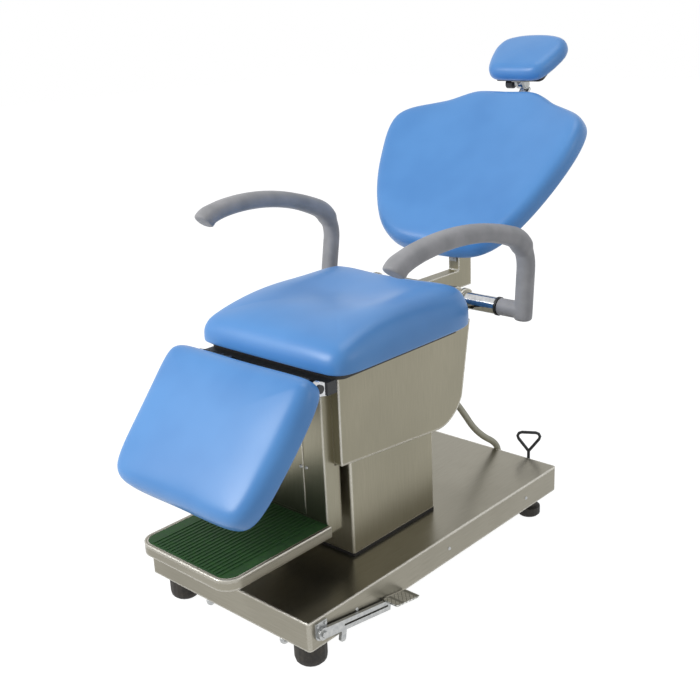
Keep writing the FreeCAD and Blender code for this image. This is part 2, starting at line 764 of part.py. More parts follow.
def front_plate_screws():
    shapes = []
    for x in PLATE_SCREW_X:
        seat = CARRIER_FRONT - SHEET if x < FRONT_PLATE_WIDTH / 2 else CARRIER_FRONT
        shapes.extend(pair(screw(Vector(x, seat, PLATE_SCREW_Z), Vector(0, -1, 0))))
    return shapes


def footrest_outline(inset):
    half = FOOTREST_WIDTH / 2 - inset
    front = FOOTREST_FRONT + inset
    rear = CARRIER_FRONT
    corner = FOOTREST_CORNER - inset
    bend = corner * (1 - math.sqrt(0.5))
    left_back = Vector(-half, rear, 0)
    right_back = Vector(half, rear, 0)
    right_low = Vector(half, front + corner, 0)
    right_front = Vector(half - corner, front, 0)
    left_front = Vector(-half + corner, front, 0)
    left_low = Vector(-half, front + corner, 0)
    edges = [
        Part.LineSegment(left_back, right_back).toShape(),
        Part.LineSegment(right_back, right_low).toShape(),
        Part.Arc(right_low, Vector(half - bend, front + bend, 0), right_front).toShape(),
        Part.LineSegment(right_front, left_front).toShape(),
        Part.Arc(left_front, Vector(-half + bend, front + bend, 0), left_low).toShape(),
        Part.LineSegment(left_low, left_back).toShape(),
    ]
    return Part.Wire(edges)


def footrest_slab(inset, z0, z1):
    slab = Part.Face(footrest_outline(inset)).extrude(Vector(0, 0, z1 - z0))
    slab.translate(Vector(0, 0, z0))
    return slab


def footrest_tray():
    bottom = FOOTREST_TOP - FOOTREST_RIM
    tray = footrest_slab(0, bottom, FOOTREST_TOP)
    hollow = footrest_slab(SHEET, bottom - 1, FOOTREST_TOP - SHEET - MAT_THICKNESS)
    recess = footrest_slab(FOOTREST_LIP, FOOTREST_TOP - MAT_THICKNESS, FOOTREST_TOP + 1)
    return tray.cut(hollow).cut(recess)


def footrest_mat():
    bottom = FOOTREST_TOP - MAT_THICKNESS
    mat = footrest_slab(FOOTREST_LIP + SOFT_GAP, bottom, FOOTREST_TOP)
    rear = CARRIER_FRONT - SOFT_GAP
    trim = box(-FOOTREST_WIDTH, FOOTREST_WIDTH, rear, rear + 5, bottom - 1, FOOTREST_TOP + 1)
    reach = FOOTREST_WIDTH / 2 - FOOTREST_CORNER
    count = int(2 * reach / MAT_RIB_PITCH)
    ribs = []
    for index in range(count + 1):
        x = -count * MAT_RIB_PITCH / 2 + index * MAT_RIB_PITCH
        ribs.append(box(x - MAT_RIB_WIDTH / 2, x + MAT_RIB_WIDTH / 2, FOOTREST_FRONT + FOOTREST_LIP + 6,
                        rear - 6, FOOTREST_TOP, FOOTREST_TOP + MAT_RIB_HEIGHT))
    return mat.cut(trim).multiFuse(ribs)


def footrest_brackets():
    bottom = FOOTREST_TOP - FOOTREST_RIM
    under = FOOTREST_TOP - SHEET - MAT_THICKNESS
    x = FOOTREST_WIDTH / 2 - 40
    points = [(CARRIER_FRONT, bottom + 1), (CARRIER_FRONT, under), (FOOTREST_FRONT + 90, under),
              (FOOTREST_FRONT + 90, under - 8)]
    return pair(side_plate(points, x, x + 5))


# Cross tube, its saddles and the arm pins

def cross_tube():
    outer = across(CROSS_TUBE_RADIUS, -CROSS_TUBE_END, CROSS_TUBE_END, PIVOT_Y, PIVOT_Z)
    inner = across(CROSS_TUBE_RADIUS - CROSS_TUBE_WALL, -CROSS_TUBE_END - 1, CROSS_TUBE_END + 1, PIVOT_Y, PIVOT_Z)
    return outer.cut(inner)


def saddle():
    outer = CROSS_TUBE_RADIUS + SADDLE_WALL
    bar_rear = REAR_BAR_Y + REAR_BAR_DEPTH
    points = [(bar_rear, RAIL_BOTTOM), (bar_rear, RAIL_TOP), (PIVOT_Y - outer * 0.7, PIVOT_Z + outer * 0.7),
              (PIVOT_Y + outer * 0.7, PIVOT_Z - outer * 0.7)]
    web = side_plate(points, SADDLE_X, SADDLE_X + SADDLE_THICKNESS)
    eye = faceted_across(outer, SADDLE_X, SADDLE_X + SADDLE_THICKNESS, PIVOT_Y, PIVOT_Z, HUB_SIDES)
    bore = across(CROSS_TUBE_RADIUS, SADDLE_X - 1, SADDLE_X + SADDLE_THICKNESS + 1, PIVOT_Y, PIVOT_Z)
    return joined([web, eye]).cut(bore)


def arm_collar():
    outer = faceted_across(COLLAR_RADIUS, CROSS_TUBE_END, CROSS_TUBE_END + COLLAR_WIDTH, PIVOT_Y, PIVOT_Z, FOOT_SIDES)
    bore = across(ARM_PIN_RADIUS, CROSS_TUBE_END - 1, CROSS_TUBE_END + COLLAR_WIDTH + 1, PIVOT_Y, PIVOT_Z)
    return outer.cut(bore)


def arm_pin():
    plug_radius = CROSS_TUBE_RADIUS - CROSS_TUBE_WALL
    plug = faceted_across(plug_radius, CROSS_TUBE_END - ARM_PIN_PLUG, CROSS_TUBE_END, PIVOT_Y, PIVOT_Z, FOOT_SIDES)
    pin_end = CROSS_TUBE_END + COLLAR_WIDTH + ARM_PIN_REACH
    pin = across(ARM_PIN_RADIUS, CROSS_TUBE_END, pin_end, PIVOT_Y, PIVOT_Z)
    return plug.fuse(pin)


# Arms: a round hub and post that flow into a flat pad

def step_along(state, length, turn):
    # Moves along a chord that lies halfway between the old and the new heading.
    y, z, heading = state
    way = math.radians(heading + turn / 2)
    return y + length * math.cos(way), z + length * math.sin(way), heading + turn


def arm_states():
    # Places along the middle of the arm from the top of its elbow, with the heading
    # in degrees from +Y: a straight post, then three bends that flow into the pad.
    states = [step_along((PIVOT_Y, PIVOT_Z, ARM_HEADING), ARM_ELBOW_RADIUS, 0)]
    states.append(step_along(states[0], ARM_POST_LENGTH, 0))
    for radius, turn, steps in ARM_BENDS:
        chord = 2 * radius * math.sin(math.radians(turn / steps / 2))
        for _ in range(steps):
            states.append(step_along(states[-1], chord, turn / steps))
    return states


def arm_section(state, tip_y, scale):
    # The round post flattens into the wide pad as the arm turns forward.
    y, z, heading = state
    share = min(max((heading - ARM_HEADING - ARM_FLATTEN_AFTER) / ARM_FLATTEN_TURN, 0), 1)
    across_radius = ARM_POST_RADIUS + share * (ARM_PAD_WIDTH / 2 - ARM_POST_RADIUS)
    up_radius = ARM_POST_RADIUS + share * (ARM_PAD_HEIGHT / 2 - ARM_POST_RADIUS)
    inward = ARM_TIP_INWARD * max((PIVOT_Y - y) / (PIVOT_Y - tip_y), 0) ** 2
    section = polygon(ARM_SIDES, across_radius * scale, up_radius * scale)
    turn = FreeCAD.Rotation(X_AXIS, heading - 90)
    section.Placement = FreeCAD.Placement(Vector(ARM_X - inward, y, z), turn)
    return section


def arm_elbow_sections(first_section, heading, hub_start):
    # The same round section swung back through a quarter turn onto the cross tube's line.
    way = math.radians(heading)
    upward = Vector(0, math.cos(way), math.sin(way))
    centre = PIVOT.add(Vector(upward).multiply(ARM_ELBOW_RADIUS)).add(Vector(ARM_X - ARM_ELBOW_RADIUS, 0, 0))
    axis = upward.cross(X_AXIS)
    sections = []
    for step in range(ARM_ELBOW_STEPS):
        section = first_section.copy()
        section.rotate(centre, axis, 90 * (1 - step / ARM_ELBOW_STEPS))
        sections.append(section)
    start = sections[0].copy()
    start.translate(Vector(hub_start - ARM_X + ARM_ELBOW_RADIUS, 0, 0))
    return [start] + sections


def arm_rest():
    states = arm_states()
    tip_y, tip_z, tip_heading = states[-1]
    sections = [arm_section(state, tip_y, 1.0) for state in states]
    for angle in (40, 70):
        turn = math.radians(angle)
        beyond = step_along(states[-1], ARM_TIP_ROUND * math.sin(turn), 0)
        sections.append(arm_section(beyond, tip_y, 1 - (1 - math.cos(turn)) * 0.8))
    hub_start = CROSS_TUBE_END + COLLAR_WIDTH + SOFT_GAP
    elbow = arm_elbow_sections(sections[0], ARM_HEADING, hub_start)
    arm = Part.makeLoft(elbow + sections, True, True)
    bore_end = CROSS_TUBE_END + COLLAR_WIDTH + ARM_PIN_REACH + 2
    return arm.cut(across(ARM_PIN_RADIUS + PIN_GAP, hub_start - 1, bore_end, PIVOT_Y, PIVOT_Z))


# Slotted levers and the linear drives

def slotted_lever(axis_radius, drop, swing, x0, x1):
    # A plate that hangs from an axis at the origin, with a slot for the drive pin.
    # The pin stays at a fixed drop while the lever swings to each side.
    slot_half = DRIVE_PIN_RADIUS + DRIVE_SLOT_PLAY
    slot_far = drop / math.cos(math.radians(swing)) + slot_half
    slot_near = drop - slot_half
    half = LEVER_HALF_WIDTH
    tip = slot_far + half - slot_half
    wide = (axis_radius + HUB_WALL) * math.cos(math.radians(22.5))
    narrow = (axis_radius + HUB_WALL) * math.sin(math.radians(22.5))
    outline = [(-narrow, wide), (-wide, narrow), (-wide, -narrow), (-half, -wide), (-half, slot_half - tip),
               (-slot_half, -tip), (slot_half, -tip), (half, slot_half - tip), (half, -wide), (wide, -narrow),
               (wide, narrow), (narrow, wide)]
    blade = side_plate(outline, x0, x1)
    return blade.cut(box(x0 - 1, x1 + 1, -slot_half, slot_half, -slot_far, -slot_near))


def lever_pair(axis_radius, drop, swing, middle_x):
    inner = LEVER_GAP / 2
    plates = []
    for x0 in (middle_x - inner - LEVER_PLATE, middle_x + inner):
        plates.append(slotted_lever(axis_radius, drop, swing, x0, x0 + LEVER_PLATE))
    return plates


def pin_offset(drop, degrees):
    return drop * math.tan(math.radians(degrees))


def drive_rod(x, eye_y, z, length, direction):
    # The rod runs from its eye into the housing, in the direction given along Y.
    start = Vector(x, eye_y, z)
    end = Vector(x, eye_y + direction * length, z)
    shaft = faceted_rod(DRIVE_ROD_RADIUS, start, end)
    half_eye = LEVER_GAP / 2 - 1
    eye = box(x - half_eye, x + half_eye, eye_y - DRIVE_EYE_RADIUS, eye_y + DRIVE_EYE_RADIUS,
              z - DRIVE_EYE_RADIUS, z + DRIVE_EYE_RADIUS)
    half_pin = LEVER_GAP / 2 + LEVER_PLATE + 2
    pin = faceted_across(DRIVE_PIN_RADIUS, x - half_pin, x + half_pin, eye_y, z)
    return joined([shaft, eye, pin])


def drive_housing(x, y0, y1, z, opens_forward):
    outer = faceted_rod(DRIVE_BODY_RADIUS, Vector(x, y0, z), Vector(x, y1, z))
    if z + DRIVE_BODY_RADIUS < RAIL_BOTTOM:
        half = DRIVE_BODY_RADIUS * 0.7
        hanger = box(x - half, x + half, MIDDLE_BAR_Y, MIDDLE_BAR_Y + MIDDLE_BAR_DEPTH, z, RAIL_BOTTOM)
        outer = outer.fuse(hanger)
    bore = DRIVE_ROD_RADIUS + DRIVE_ROD_GAP
    start = y0 - 1 if opens_forward else y0 + DRIVE_CAP
    end = y1 - DRIVE_CAP if opens_forward else y1 + 1
    return outer.cut(faceted_rod(bore, Vector(x, start, z), Vector(x, end, z)))


# Leg rest, drawn flat with the hinge at the origin and its length along -Y

def leg_outline(inset):
    top = LEG_HALF_WIDTH - inset
    bottom = LEG_BOTTOM_HALF_WIDTH - inset
    near = -LEG_START - inset
    far = -LEG_START - LEG_LENGTH + inset
    top_corner = LEG_TOP_CORNER - inset * 0.6
    bottom_corner = LEG_BOTTOM_CORNER - inset * 0.6
    near_bend = top_corner * (1 - math.sqrt(0.5))
    far_bend = bottom_corner * (1 - math.sqrt(0.5))
    right = [
        Vector(0, near, 0),
        Vector(top - top_corner, near, 0),
        Vector(top - near_bend, near - near_bend, 0),
        Vector(top, near - top_corner, 0),
        Vector(bottom, far + bottom_corner, 0),
        Vector(bottom - far_bend, far + far_bend, 0),
        Vector(bottom - bottom_corner, far, 0),
        Vector(0, far, 0),
    ]
    left = [Vector(-point.x, point.y, 0) for point in right]
    edges = []
    for side in (right, left):
        edges.append(Part.LineSegment(side[0], side[1]).toShape())
        edges.append(Part.Arc(side[1], side[2], side[3]).toShape())
        edges.append(Part.LineSegment(side[3], side[4]).toShape())
        edges.append(Part.Arc(side[4], side[5], side[6]).toShape())
        edges.append(Part.LineSegment(side[6], side[7]).toShape())
    return Part.Wire(Part.__sortEdges__(edges))


def slab(wire, z0, z1):
    solid = Part.Face(wire).extrude(Vector(0, 0, z1 - z0))
    solid.translate(Vector(0, 0, z0))
    return solid


def rim_edges(solid, z):
    return [edge for edge in solid.Edges if abs(edge.BoundBox.ZMin - z) < 1e-3 and abs(edge.BoundBox.ZMax - z) < 1e-3]


def leg_cushion():
    top = LEG_FACE
    bottom = LEG_FACE - LEG_THICKNESS
    solid = slab(leg_outline(0), bottom, top)
    solid = solid.makeChamfer(LEG_EDGE, rim_edges(solid, top))
    return leaned(solid, LEG_PIVOT, LEG_HANG)


def leg_board():
    top = LEG_FACE - LEG_THICKNESS
    return leaned(slab(leg_outline(LEG_BOARD_INSET), top - LEG_BOARD, top), LEG_PIVOT, LEG_HANG)


def leg_frame():
    top = LEG_FACE - LEG_THICKNESS - LEG_BOARD
    low = top - LEG_ARM_THICKNESS
    sleeve_radius = LEG_SHAFT_RADIUS + LEG_SLEEVE_WALL
    half = LEG_ARM_WIDTH / 2
    arm = box(LEG_ARM_X - half, LEG_ARM_X + half, -LEG_LENGTH + 60, 0, low, top)
    sleeve = faceted_across(sleeve_radius, LEG_ARM_X - half, LEG_ARM_X + half + 8, 0, 0, HUB_SIDES)
    shapes = pair(arm) + pair(sleeve)
    for y in (-80.0, -LEG_LENGTH + 60):
        shapes.append(box(-LEG_ARM_X, LEG_ARM_X, y, y + 25, low, top))
    inner_sleeve = faceted_across(sleeve_radius, -LEG_ARM_X, -DRIVE_X + LEVER_GAP / 2 + LEVER_PLATE, 0, 0, HUB_SIDES)
    lever_swing = (LEG_RAISE + LEG_LOWER) / 2
    lever_angle = LEG_RAISE - lever_swing - LEG_HANG
    levers = lever_pair(LEG_SHAFT_RADIUS + PIN_GAP, LEG_DRIVE_DROP, lever_swing, -DRIVE_X)
    shapes.append(inner_sleeve)
    shapes.extend(turned(lever, Vector(0, 0, 0), lever_angle) for lever in levers)
    bore = across(LEG_SHAFT_RADIUS + PIN_GAP, -LEG_ARM_X - 60, LEG_ARM_X + 60, 0, 0)
    return leaned(joined(shapes).cut(bore), LEG_PIVOT, LEG_HANG)


def leg_shaft():
    reach = LEG_BRACKET_X + LEG_BRACKET_WIDTH + 4
    return across(LEG_SHAFT_RADIUS, -reach, reach, LEG_Y, LEG_Z)


def leg_bracket():
    outer = LEG_SHAFT_RADIUS + 7
    x1 = LEG_BRACKET_X + LEG_BRACKET_WIDTH
    points = [(FRONT_BAR_Y, RAIL_BOTTOM), (FRONT_BAR_Y, RAIL_TOP), (LEG_Y, LEG_Z + outer), (LEG_Y, LEG_Z - outer)]
    web = side_plate(points, LEG_BRACKET_X, x1)
    eye = faceted_across(outer, LEG_BRACKET_X, x1, LEG_Y, LEG_Z, HUB_SIDES)
    bore = across(LEG_SHAFT_RADIUS, LEG_BRACKET_X - 1, x1 + 1, LEG_Y, LEG_Z)
    return joined([web, eye]).cut(bore)


# Back, drawn flat with the pivot at the origin, its length along +Y and its front up

def back_outline(inset, straight=False):
    wide = BACK_HALF_WIDTH - inset
    low = BACK_START + inset
    top = BACK_START + BACK_HEIGHT - inset
    shoulder = BACK_START + 0.69 * BACK_HEIGHT
    right = [
        Vector(0, low, 0),
        Vector(wide * 0.38, low + 4, 0),
        Vector(wide * 0.55, low + 28, 0),
        Vector(wide * 0.685, low + 68, 0),
        Vector(wide * 0.935, BACK_START + 0.42 * BACK_HEIGHT, 0),
        Vector(wide, shoulder, 0),
        Vector(wide * 0.965, shoulder + 40 - inset * 0.6, 0),
        Vector(wide * 0.86, shoulder + 66 - inset * 0.8, 0),
        Vector(wide * 0.67, shoulder + 96 - inset, 0),
        Vector(wide * 0.48, top - 44, 0),
        Vector(wide * 0.38, top - 13, 0),
        Vector(wide * 0.24, top, 0),
        Vector(0, top, 0),
    ]
    left = [Vector(-point.x, point.y, 0) for point in right]
    if straight:
        return closed(right + left[-2:0:-1])
    edges = []
    for side in (right, left):
        edges.append(Part.LineSegment(side[0], side[1]).toShape())
        edges.append(Part.Arc(side[1], side[2], side[3]).toShape())
        edges.append(Part.Arc(side[3], side[4], side[5]).toShape())
        edges.append(Part.Arc(side[5], side[6], side[7]).toShape())
        edges.append(Part.Arc(side[7], side[8], side[9]).toShape())
        edges.append(Part.Arc(side[9], side[10], side[11]).toShape())
        edges.append(Part.LineSegment(side[11], side[12]).toShape())
    return Part.Wire(Part.__sortEdges__(edges))


def curved_slab(wire, depth, thickness):
    # The front of the back is hollow: its middle lies at the face height and
    # its sides curve forward. The depth is counted back from that face.
    prism = slab(wire, BACK_FACE - depth - thickness - 1, BACK_FACE + BACK_HALF_WIDTH)
    axis_start = Vector(0, BACK_START - 50, BACK_FACE + BACK_CURVE_RADIUS)
    axis_end = Vector(0, BACK_START + BACK_HEIGHT + 50, BACK_FACE + BACK_CURVE_RADIUS)
    outer = rod(BACK_CURVE_RADIUS + depth + thickness, axis_start, axis_end)
    inner = rod(BACK_CURVE_RADIUS + depth, axis_start, axis_end)
    return prism.common(outer.cut(inner))


def on_back(shape):
    return leaned(shape, PIVOT, 90 - BACK_RECLINE)


def back_cushion():
    return on_back(curved_slab(back_outline(0), 0, BACK_THICKNESS))


def back_board():
    return on_back(curved_slab(back_outline(BACK_BOARD_INSET, True), BACK_THICKNESS, BACK_BOARD))


def back_carrier():
    angle = math.radians(BACK_RECLINE)
    level = BACK_PLATE_LEVEL
    plate_y = PIVOT_Y - level * math.cos(angle)
    plate_z = PIVOT_Z + level * math.sin(angle)
    front_y = PIVOT_Y + POST_FRONT
    rear_y = PIVOT_Y + POST_REAR
    low_z = PIVOT_Z - POST_ARM_HALF_HEIGHT
    high_z = PIVOT_Z + POST_ARM_HALF_HEIGHT
    hub_radius = CROSS_TUBE_RADIUS + PIN_GAP + HUB_WALL
    slope = math.cos(angle) / math.sin(angle)
    points = [(PIVOT_Y, low_z), (rear_y, low_z), (rear_y, plate_z + (rear_y - plate_y) * slope),
              (front_y, plate_z + (front_y - plate_y) * slope), (front_y, high_z), (PIVOT_Y, high_z)]
    half = POST_WIDTH / 2
    wall = POST_WALL
    arm = side_plate(points, -half, half)
    hollow = [(PIVOT_Y + hub_radius, low_z - 1), (rear_y + 1, low_z - 1), (rear_y + 1, points[2][1] + 60),
              (rear_y - 20, points[2][1] + 60), (front_y + wall, points[3][1] - 12), (front_y + wall, high_z - wall),
              (PIVOT_Y + hub_radius, high_z - wall)]
    arm = arm.cut(side_plate(hollow, -half + wall, half - wall))
    hub = faceted_across(hub_radius, -HUB_RIGHT, HUB_LEFT, PIVOT_Y, PIVOT_Z, HUB_SIDES)
    swing = (BACK_RECLINE_MORE + BACK_RAISE) / 2
    levers = []
    for lever in lever_pair(CROSS_TUBE_RADIUS + PIN_GAP, BACK_DRIVE_DROP, swing, DRIVE_X):
        lever.translate(PIVOT)
        levers.append(turned(lever, PIVOT, BACK_RECLINE_MORE - swing))
    plate = box(-BACK_PLATE_WIDTH / 2, BACK_PLATE_WIDTH / 2, 190, 400, level, level + BACK_PLATE)
    bore = across(CROSS_TUBE_RADIUS + PIN_GAP, -HUB_RIGHT - 1, HUB_LEFT + 1, PIVOT_Y, PIVOT_Z)
    return joined([arm, hub, on_back(plate)] + levers).cut(bore)


def post_bolt():
    y = PIVOT_Y + POST_FRONT
    z = PIVOT_Z + 66
    plate = box(-11, 11, y - 4, y, z - 15, z + 15)
    return plate.fuse(hexagon_head(Vector(0, y - 4, z), Vector(0, -1, 0)))


def back_bolts():
    level = BACK_PLATE_LEVEL
    shapes = []
    for y in (205.0, 385.0):
        bolt = hexagon_head(Vector(BACK_PLATE_WIDTH / 2 - 12, y, level), Vector(0, 0, -1))
        shapes.extend(pair(on_back(bolt)))
    return shapes


# Headrest: guide and bar on the back, a knuckle and the padded rest

def headrest_guide():
    gap = SLIDE_GAP / 10
    half = HEAD_BAR_WIDTH / 2 + gap + HEAD_GUIDE_WALL
    low = HEAD_BAR_LEVEL - gap - HEAD_GUIDE_WALL
    high = BACK_PLATE_LEVEL + BACK_PLATE
    end = HEAD_GUIDE_START + HEAD_GUIDE_LENGTH
    body = box(-half, half, HEAD_GUIDE_START, end, low, high)
    slot_half = HEAD_BAR_WIDTH / 2 + gap
    slot = box(-slot_half, slot_half, HEAD_GUIDE_START - 1, end + 1, HEAD_BAR_LEVEL - gap,
               HEAD_BAR_LEVEL + HEAD_BAR_THICKNESS + gap)
    return on_back(body.cut(slot))


def headrest_clamp():
    middle = HEAD_GUIDE_START + HEAD_GUIDE_LENGTH / 2
    low = HEAD_BAR_LEVEL - SLIDE_GAP / 10 - HEAD_GUIDE_WALL
    profile = [(6, 0), (6, 12), (16, 12), (16, 26)]
    return on_back(aimed(turning(profile, SMALL_SIDES), Vector(0, middle, low), Vector(0, 0, -1)))


def headrest_bar():
    level = HEAD_BAR_LEVEL
    half = HEAD_BAR_WIDTH / 2
    top = HEAD_PIVOT_S + 4
    bar = box(-half, half, top - HEAD_BAR_LENGTH, top, level, level + HEAD_BAR_THICKNESS)
    ear = box(-7, 7, HEAD_PIVOT_S - HEAD_KNUCKLE_RADIUS, HEAD_PIVOT_S + 4, level, HEAD_PIVOT_N)
    eye = faceted_across(HEAD_KNUCKLE_RADIUS, -7, 7, HEAD_PIVOT_S, HEAD_PIVOT_N)
    bore = across(BOLT_RADIUS + PIN_GAP, -20, 20, HEAD_PIVOT_S, HEAD_PIVOT_N)
    return on_back(joined([bar, ear, eye]).cut(bore))


def head_pivot():
    spot = Vector(0, HEAD_PIVOT_S, HEAD_PIVOT_N)
    turn = FreeCAD.Rotation(X_AXIS, 90 - BACK_RECLINE)
    return turn.multVec(spot).add(PIVOT)


def on_head(shape):
    return leaned(shape, head_pivot(), 90 - HEAD_TILT)


def head_outline():
    wide = HEAD_HALF_WIDTH
    low = HEAD_START
    top = HEAD_START + HEAD_HEIGHT
    right = [
        Vector(0, low, 0),
        Vector(wide * 0.5, low + 2, 0),
        Vector(wide * 0.72, low + 10, 0),
        Vector(wide * 0.82, low + 28, 0),
        Vector(wide * 0.95, low + HEAD_HEIGHT * 0.45, 0),
        Vector(wide, low + HEAD_HEIGHT * 0.7, 0),
        Vector(wide * 0.88, top - 17, 0),
        Vector(wide * 0.5, top - 2, 0),
        Vector(0, top, 0),
    ]
    left = [Vector(-point.x, point.y, 0) for point in right]
    edges = [
        Part.Arc(left[1], right[0], right[1]).toShape(),
        Part.Arc(left[7], right[8], right[7]).toShape(),
    ]
    for side in (right, left):
        edges.append(Part.Arc(side[1], side[2], side[3]).toShape())
        edges.append(Part.Arc(side[3], side[4], side[5]).toShape())
        edges.append(Part.Arc(side[5], side[6], side[7]).toShape())
    return Part.Wire(Part.__sortEdges__(edges))


def headrest_cushion():
    return on_head(slab(head_outline(), HEAD_FACE - HEAD_THICKNESS, HEAD_FACE))


def headrest_board():
    top = HEAD_FACE - HEAD_THICKNESS
    half = HEAD_HALF_WIDTH * 0.72
    low = HEAD_START + HEAD_BOARD_INSET
    high = HEAD_START + HEAD_HEIGHT - HEAD_BOARD_INSET
    return on_head(rounded_box(-half, half, low, high, top - HEAD_BOARD, top, HEAD_BOARD_INSET))


def headrest_fork():
    top = HEAD_FACE - HEAD_THICKNESS - HEAD_BOARD
    cheek = joined([
        box(7 + SOFT_GAP, 15, -HEAD_KNUCKLE_RADIUS, HEAD_KNUCKLE_RADIUS, 0, top),
        faceted_across(HEAD_KNUCKLE_RADIUS, 7 + SOFT_GAP, 15, 0, 0),
    ])
    plate = box(-24, 24, -HEAD_KNUCKLE_RADIUS, 60, top - 4, top)
    pin = across(BOLT_RADIUS, -15 - HEAD_KNOB_GAP, 15, 0, 0)
    return on_head(joined(pair(cheek) + [plate, pin]))


def headrest_knob():
    pin_end = -15 - HEAD_KNOB_GAP
    profile = [(HEAD_KNOB_RADIUS * 0.6, 0), (HEAD_KNOB_RADIUS, 3), (HEAD_KNOB_RADIUS, HEAD_KNOB_LENGTH)]
    return on_head(aimed(turning(profile, SMALL_SIDES), Vector(pin_end, 0, 0), Vector(-1, 0, 0)))


# Pedal

def pedal_middle_x():
    return BASE_WIDTH / 2 + PEDAL_GAP + PEDAL_THICKNESS / 2


def pedal_place(shape):
    copy = shape.copy()
    copy.rotate(Vector(0, 0, 0), X_AXIS, -PEDAL_SLOPE)
    copy.translate(Vector(0, PEDAL_Y, PEDAL_Z))
    return copy


def pedal_lever():
    x0 = BASE_WIDTH / 2 + PEDAL_GAP
    x1 = x0 + PEDAL_THICKNESS
    half = PEDAL_HEIGHT / 2
    blade = box(x0, x1, 0, PEDAL_LENGTH, -half, half)
    root = faceted_across(half + 2, x0, x1, 0, 0)
    slot = box(x0 - 1, x1 + 1, 66, PEDAL_LENGTH - 10, -2.5, 2.5)
    lug = side_plate([(58, 0), (58, -half - 22), (61, -half - 26), (71, -half - 26), (74, -half - 22), (74, 0)], x0, x1)
    bore = across(BOLT_RADIUS + PIN_GAP, x0 - 1, x1 + 1, 0, 0)
    return pedal_place(joined([blade, root, lug]).cut(slot).cut(bore))


def pedal_pad():
    x0 = BASE_WIDTH / 2 + PEDAL_GAP
    half = PEDAL_HEIGHT / 2
    start = PEDAL_LENGTH - 22
    pad = rounded_box(x0, x0 + PEDAL_PAD_WIDTH, start, start + PEDAL_PAD_LENGTH, half, half + PEDAL_PAD_THICKNESS, 4)
    return pedal_place(pad)


def pedal_pivot():
    x0 = BASE_WIDTH / 2
    pin_end = x0 + PEDAL_GAP + PEDAL_THICKNESS + SOFT_GAP
    ear = pedal_ear(x0, x0 + PEDAL_GAP - SOFT_GAP)
    pin = across(BOLT_RADIUS, x0, pin_end, PEDAL_Y, PEDAL_Z)
    head = hexagon_head(Vector(pin_end, PEDAL_Y, PEDAL_Z), X_AXIS)
    return joined([ear, pin, head])


def pedal_ear(x0, x1):
    return joined([
        faceted_across(19, x0, x1, PEDAL_Y, PEDAL_Z),
        box(x0, x1, PEDAL_Y - 18, PEDAL_Y + 18, PEDAL_Z, BASE_TOP - 8),
    ])


def pedal_bolts():
    x = BASE_WIDTH / 2 + PEDAL_GAP - SOFT_GAP
    z = BASE_TOP - 15
    return [hexagon_head(Vector(x, PEDAL_Y + offset, z), X_AXIS, 4, 3) for offset in (-12, 12)]


# Rear pull loop, bracket and conduit

def twisted(shape):
    copy = shape.copy()
    copy.rotate(Vector(0, 0, 0), Z_AXIS, LOOP_TWIST)
    copy.translate(Vector(LOOP_X, LOOP_Y, LOOP_Z))
    return copy


def rounded_path(points, radii):
    # Straight runs joined by tangent arcs; the points in between are rounded.
    edges = []
    start = points[0]
    for index in range(1, len(points) - 1):
        before = points[index - 1].sub(points[index]).normalize()
        after = points[index + 1].sub(points[index]).normalize()
        half_turn = (math.pi - before.getAngle(after)) / 2
        cut = radii[index - 1] * math.tan(half_turn)
        arc_start = points[index].add(Vector(before).multiply(cut))
        arc_end = points[index].add(Vector(after).multiply(cut))
        inward = before.add(after).normalize()
        reach = radii[index - 1] / math.cos(half_turn) - radii[index - 1]
        arc_middle = points[index].add(Vector(inward).multiply(reach))
        edges.append(Part.LineSegment(start, arc_start).toShape())
        edges.append(Part.Arc(arc_start, arc_middle, arc_end).toShape())
        start = arc_end
    edges.append(Part.LineSegment(start, points[-1]).toShape())
    return Part.Wire(edges)


def path_stations(wire):
    # The ends of each run and a few places along each arc, with the way on from there.
    stations = []
    for edge in wire.Edges:
        steps = BEND_STEPS if edge.Curve.TypeId == "Part::GeomCircle" else 1
        span = edge.LastParameter - edge.FirstParameter
        for step in range(steps):
            place = edge.FirstParameter + span * step / steps
            stations.append((edge.valueAt(place), edge.tangentAt(place)))
    stations.append((edge.valueAt(edge.LastParameter), edge.tangentAt(edge.LastParameter)))
    return stations


def tube_along(wire, radius, sides):
    sections = []
    for place, way in path_stations(wire):
        sections.append(aimed(polygon(sides, radius, radius), place, way))
    return Part.makeLoft(sections, True, True)


def pull_loop():
    # A bent wire triangle on a stalk; its two halves meet in the middle of the top run.
    top = LOOP_STALK + LOOP_HEIGHT
    corners = [Vector(0, 0, LOOP_STALK), Vector(LOOP_HALF_WIDTH, 0, top), Vector(0, 0, top)]
    half = tube_along(rounded_path(corners, [LOOP_CORNER]), LOOP_ROD_RADIUS, SCREW_SIDES)
    stalk = faceted_rod(LOOP_ROD_RADIUS, Vector(0, 0, 0), Vector(0, 0, LOOP_STALK + 5))
    eye = faceted_rod(LOOP_ROD_RADIUS + 5, Vector(-6, 0, 0), Vector(6, 0, 0))
    bore = rod(LOOP_PIN_RADIUS + PIN_GAP, Vector(-7, 0, 0), Vector(7, 0, 0))
    return twisted(joined(pair(half) + [stalk, eye]).cut(bore))


def loop_bracket():
    ear = box(6 + SOFT_GAP, 10, -30, 8, -8, 8)
    pin = faceted_rod(LOOP_PIN_RADIUS, Vector(-12, 0, 0), Vector(12, 0, 0))
    ears = twisted(joined(pair(ear) + [pin]))
    behind = box(LOOP_X - 60, LOOP_X + 60, BASE_REAR - 100, BASE_REAR, BASE_BOTTOM, BASE_TOP)
    plate = box(LOOP_X - 16, LOOP_X + 26, BASE_REAR, BASE_REAR + 4, LOOP_Z - 20, LOOP_Z + 20)
    return joined([ears.cut(behind), plate])


def conduit_vectors():
    return [Vector(x, y, z) for x, y, z in CONDUIT_POINTS]


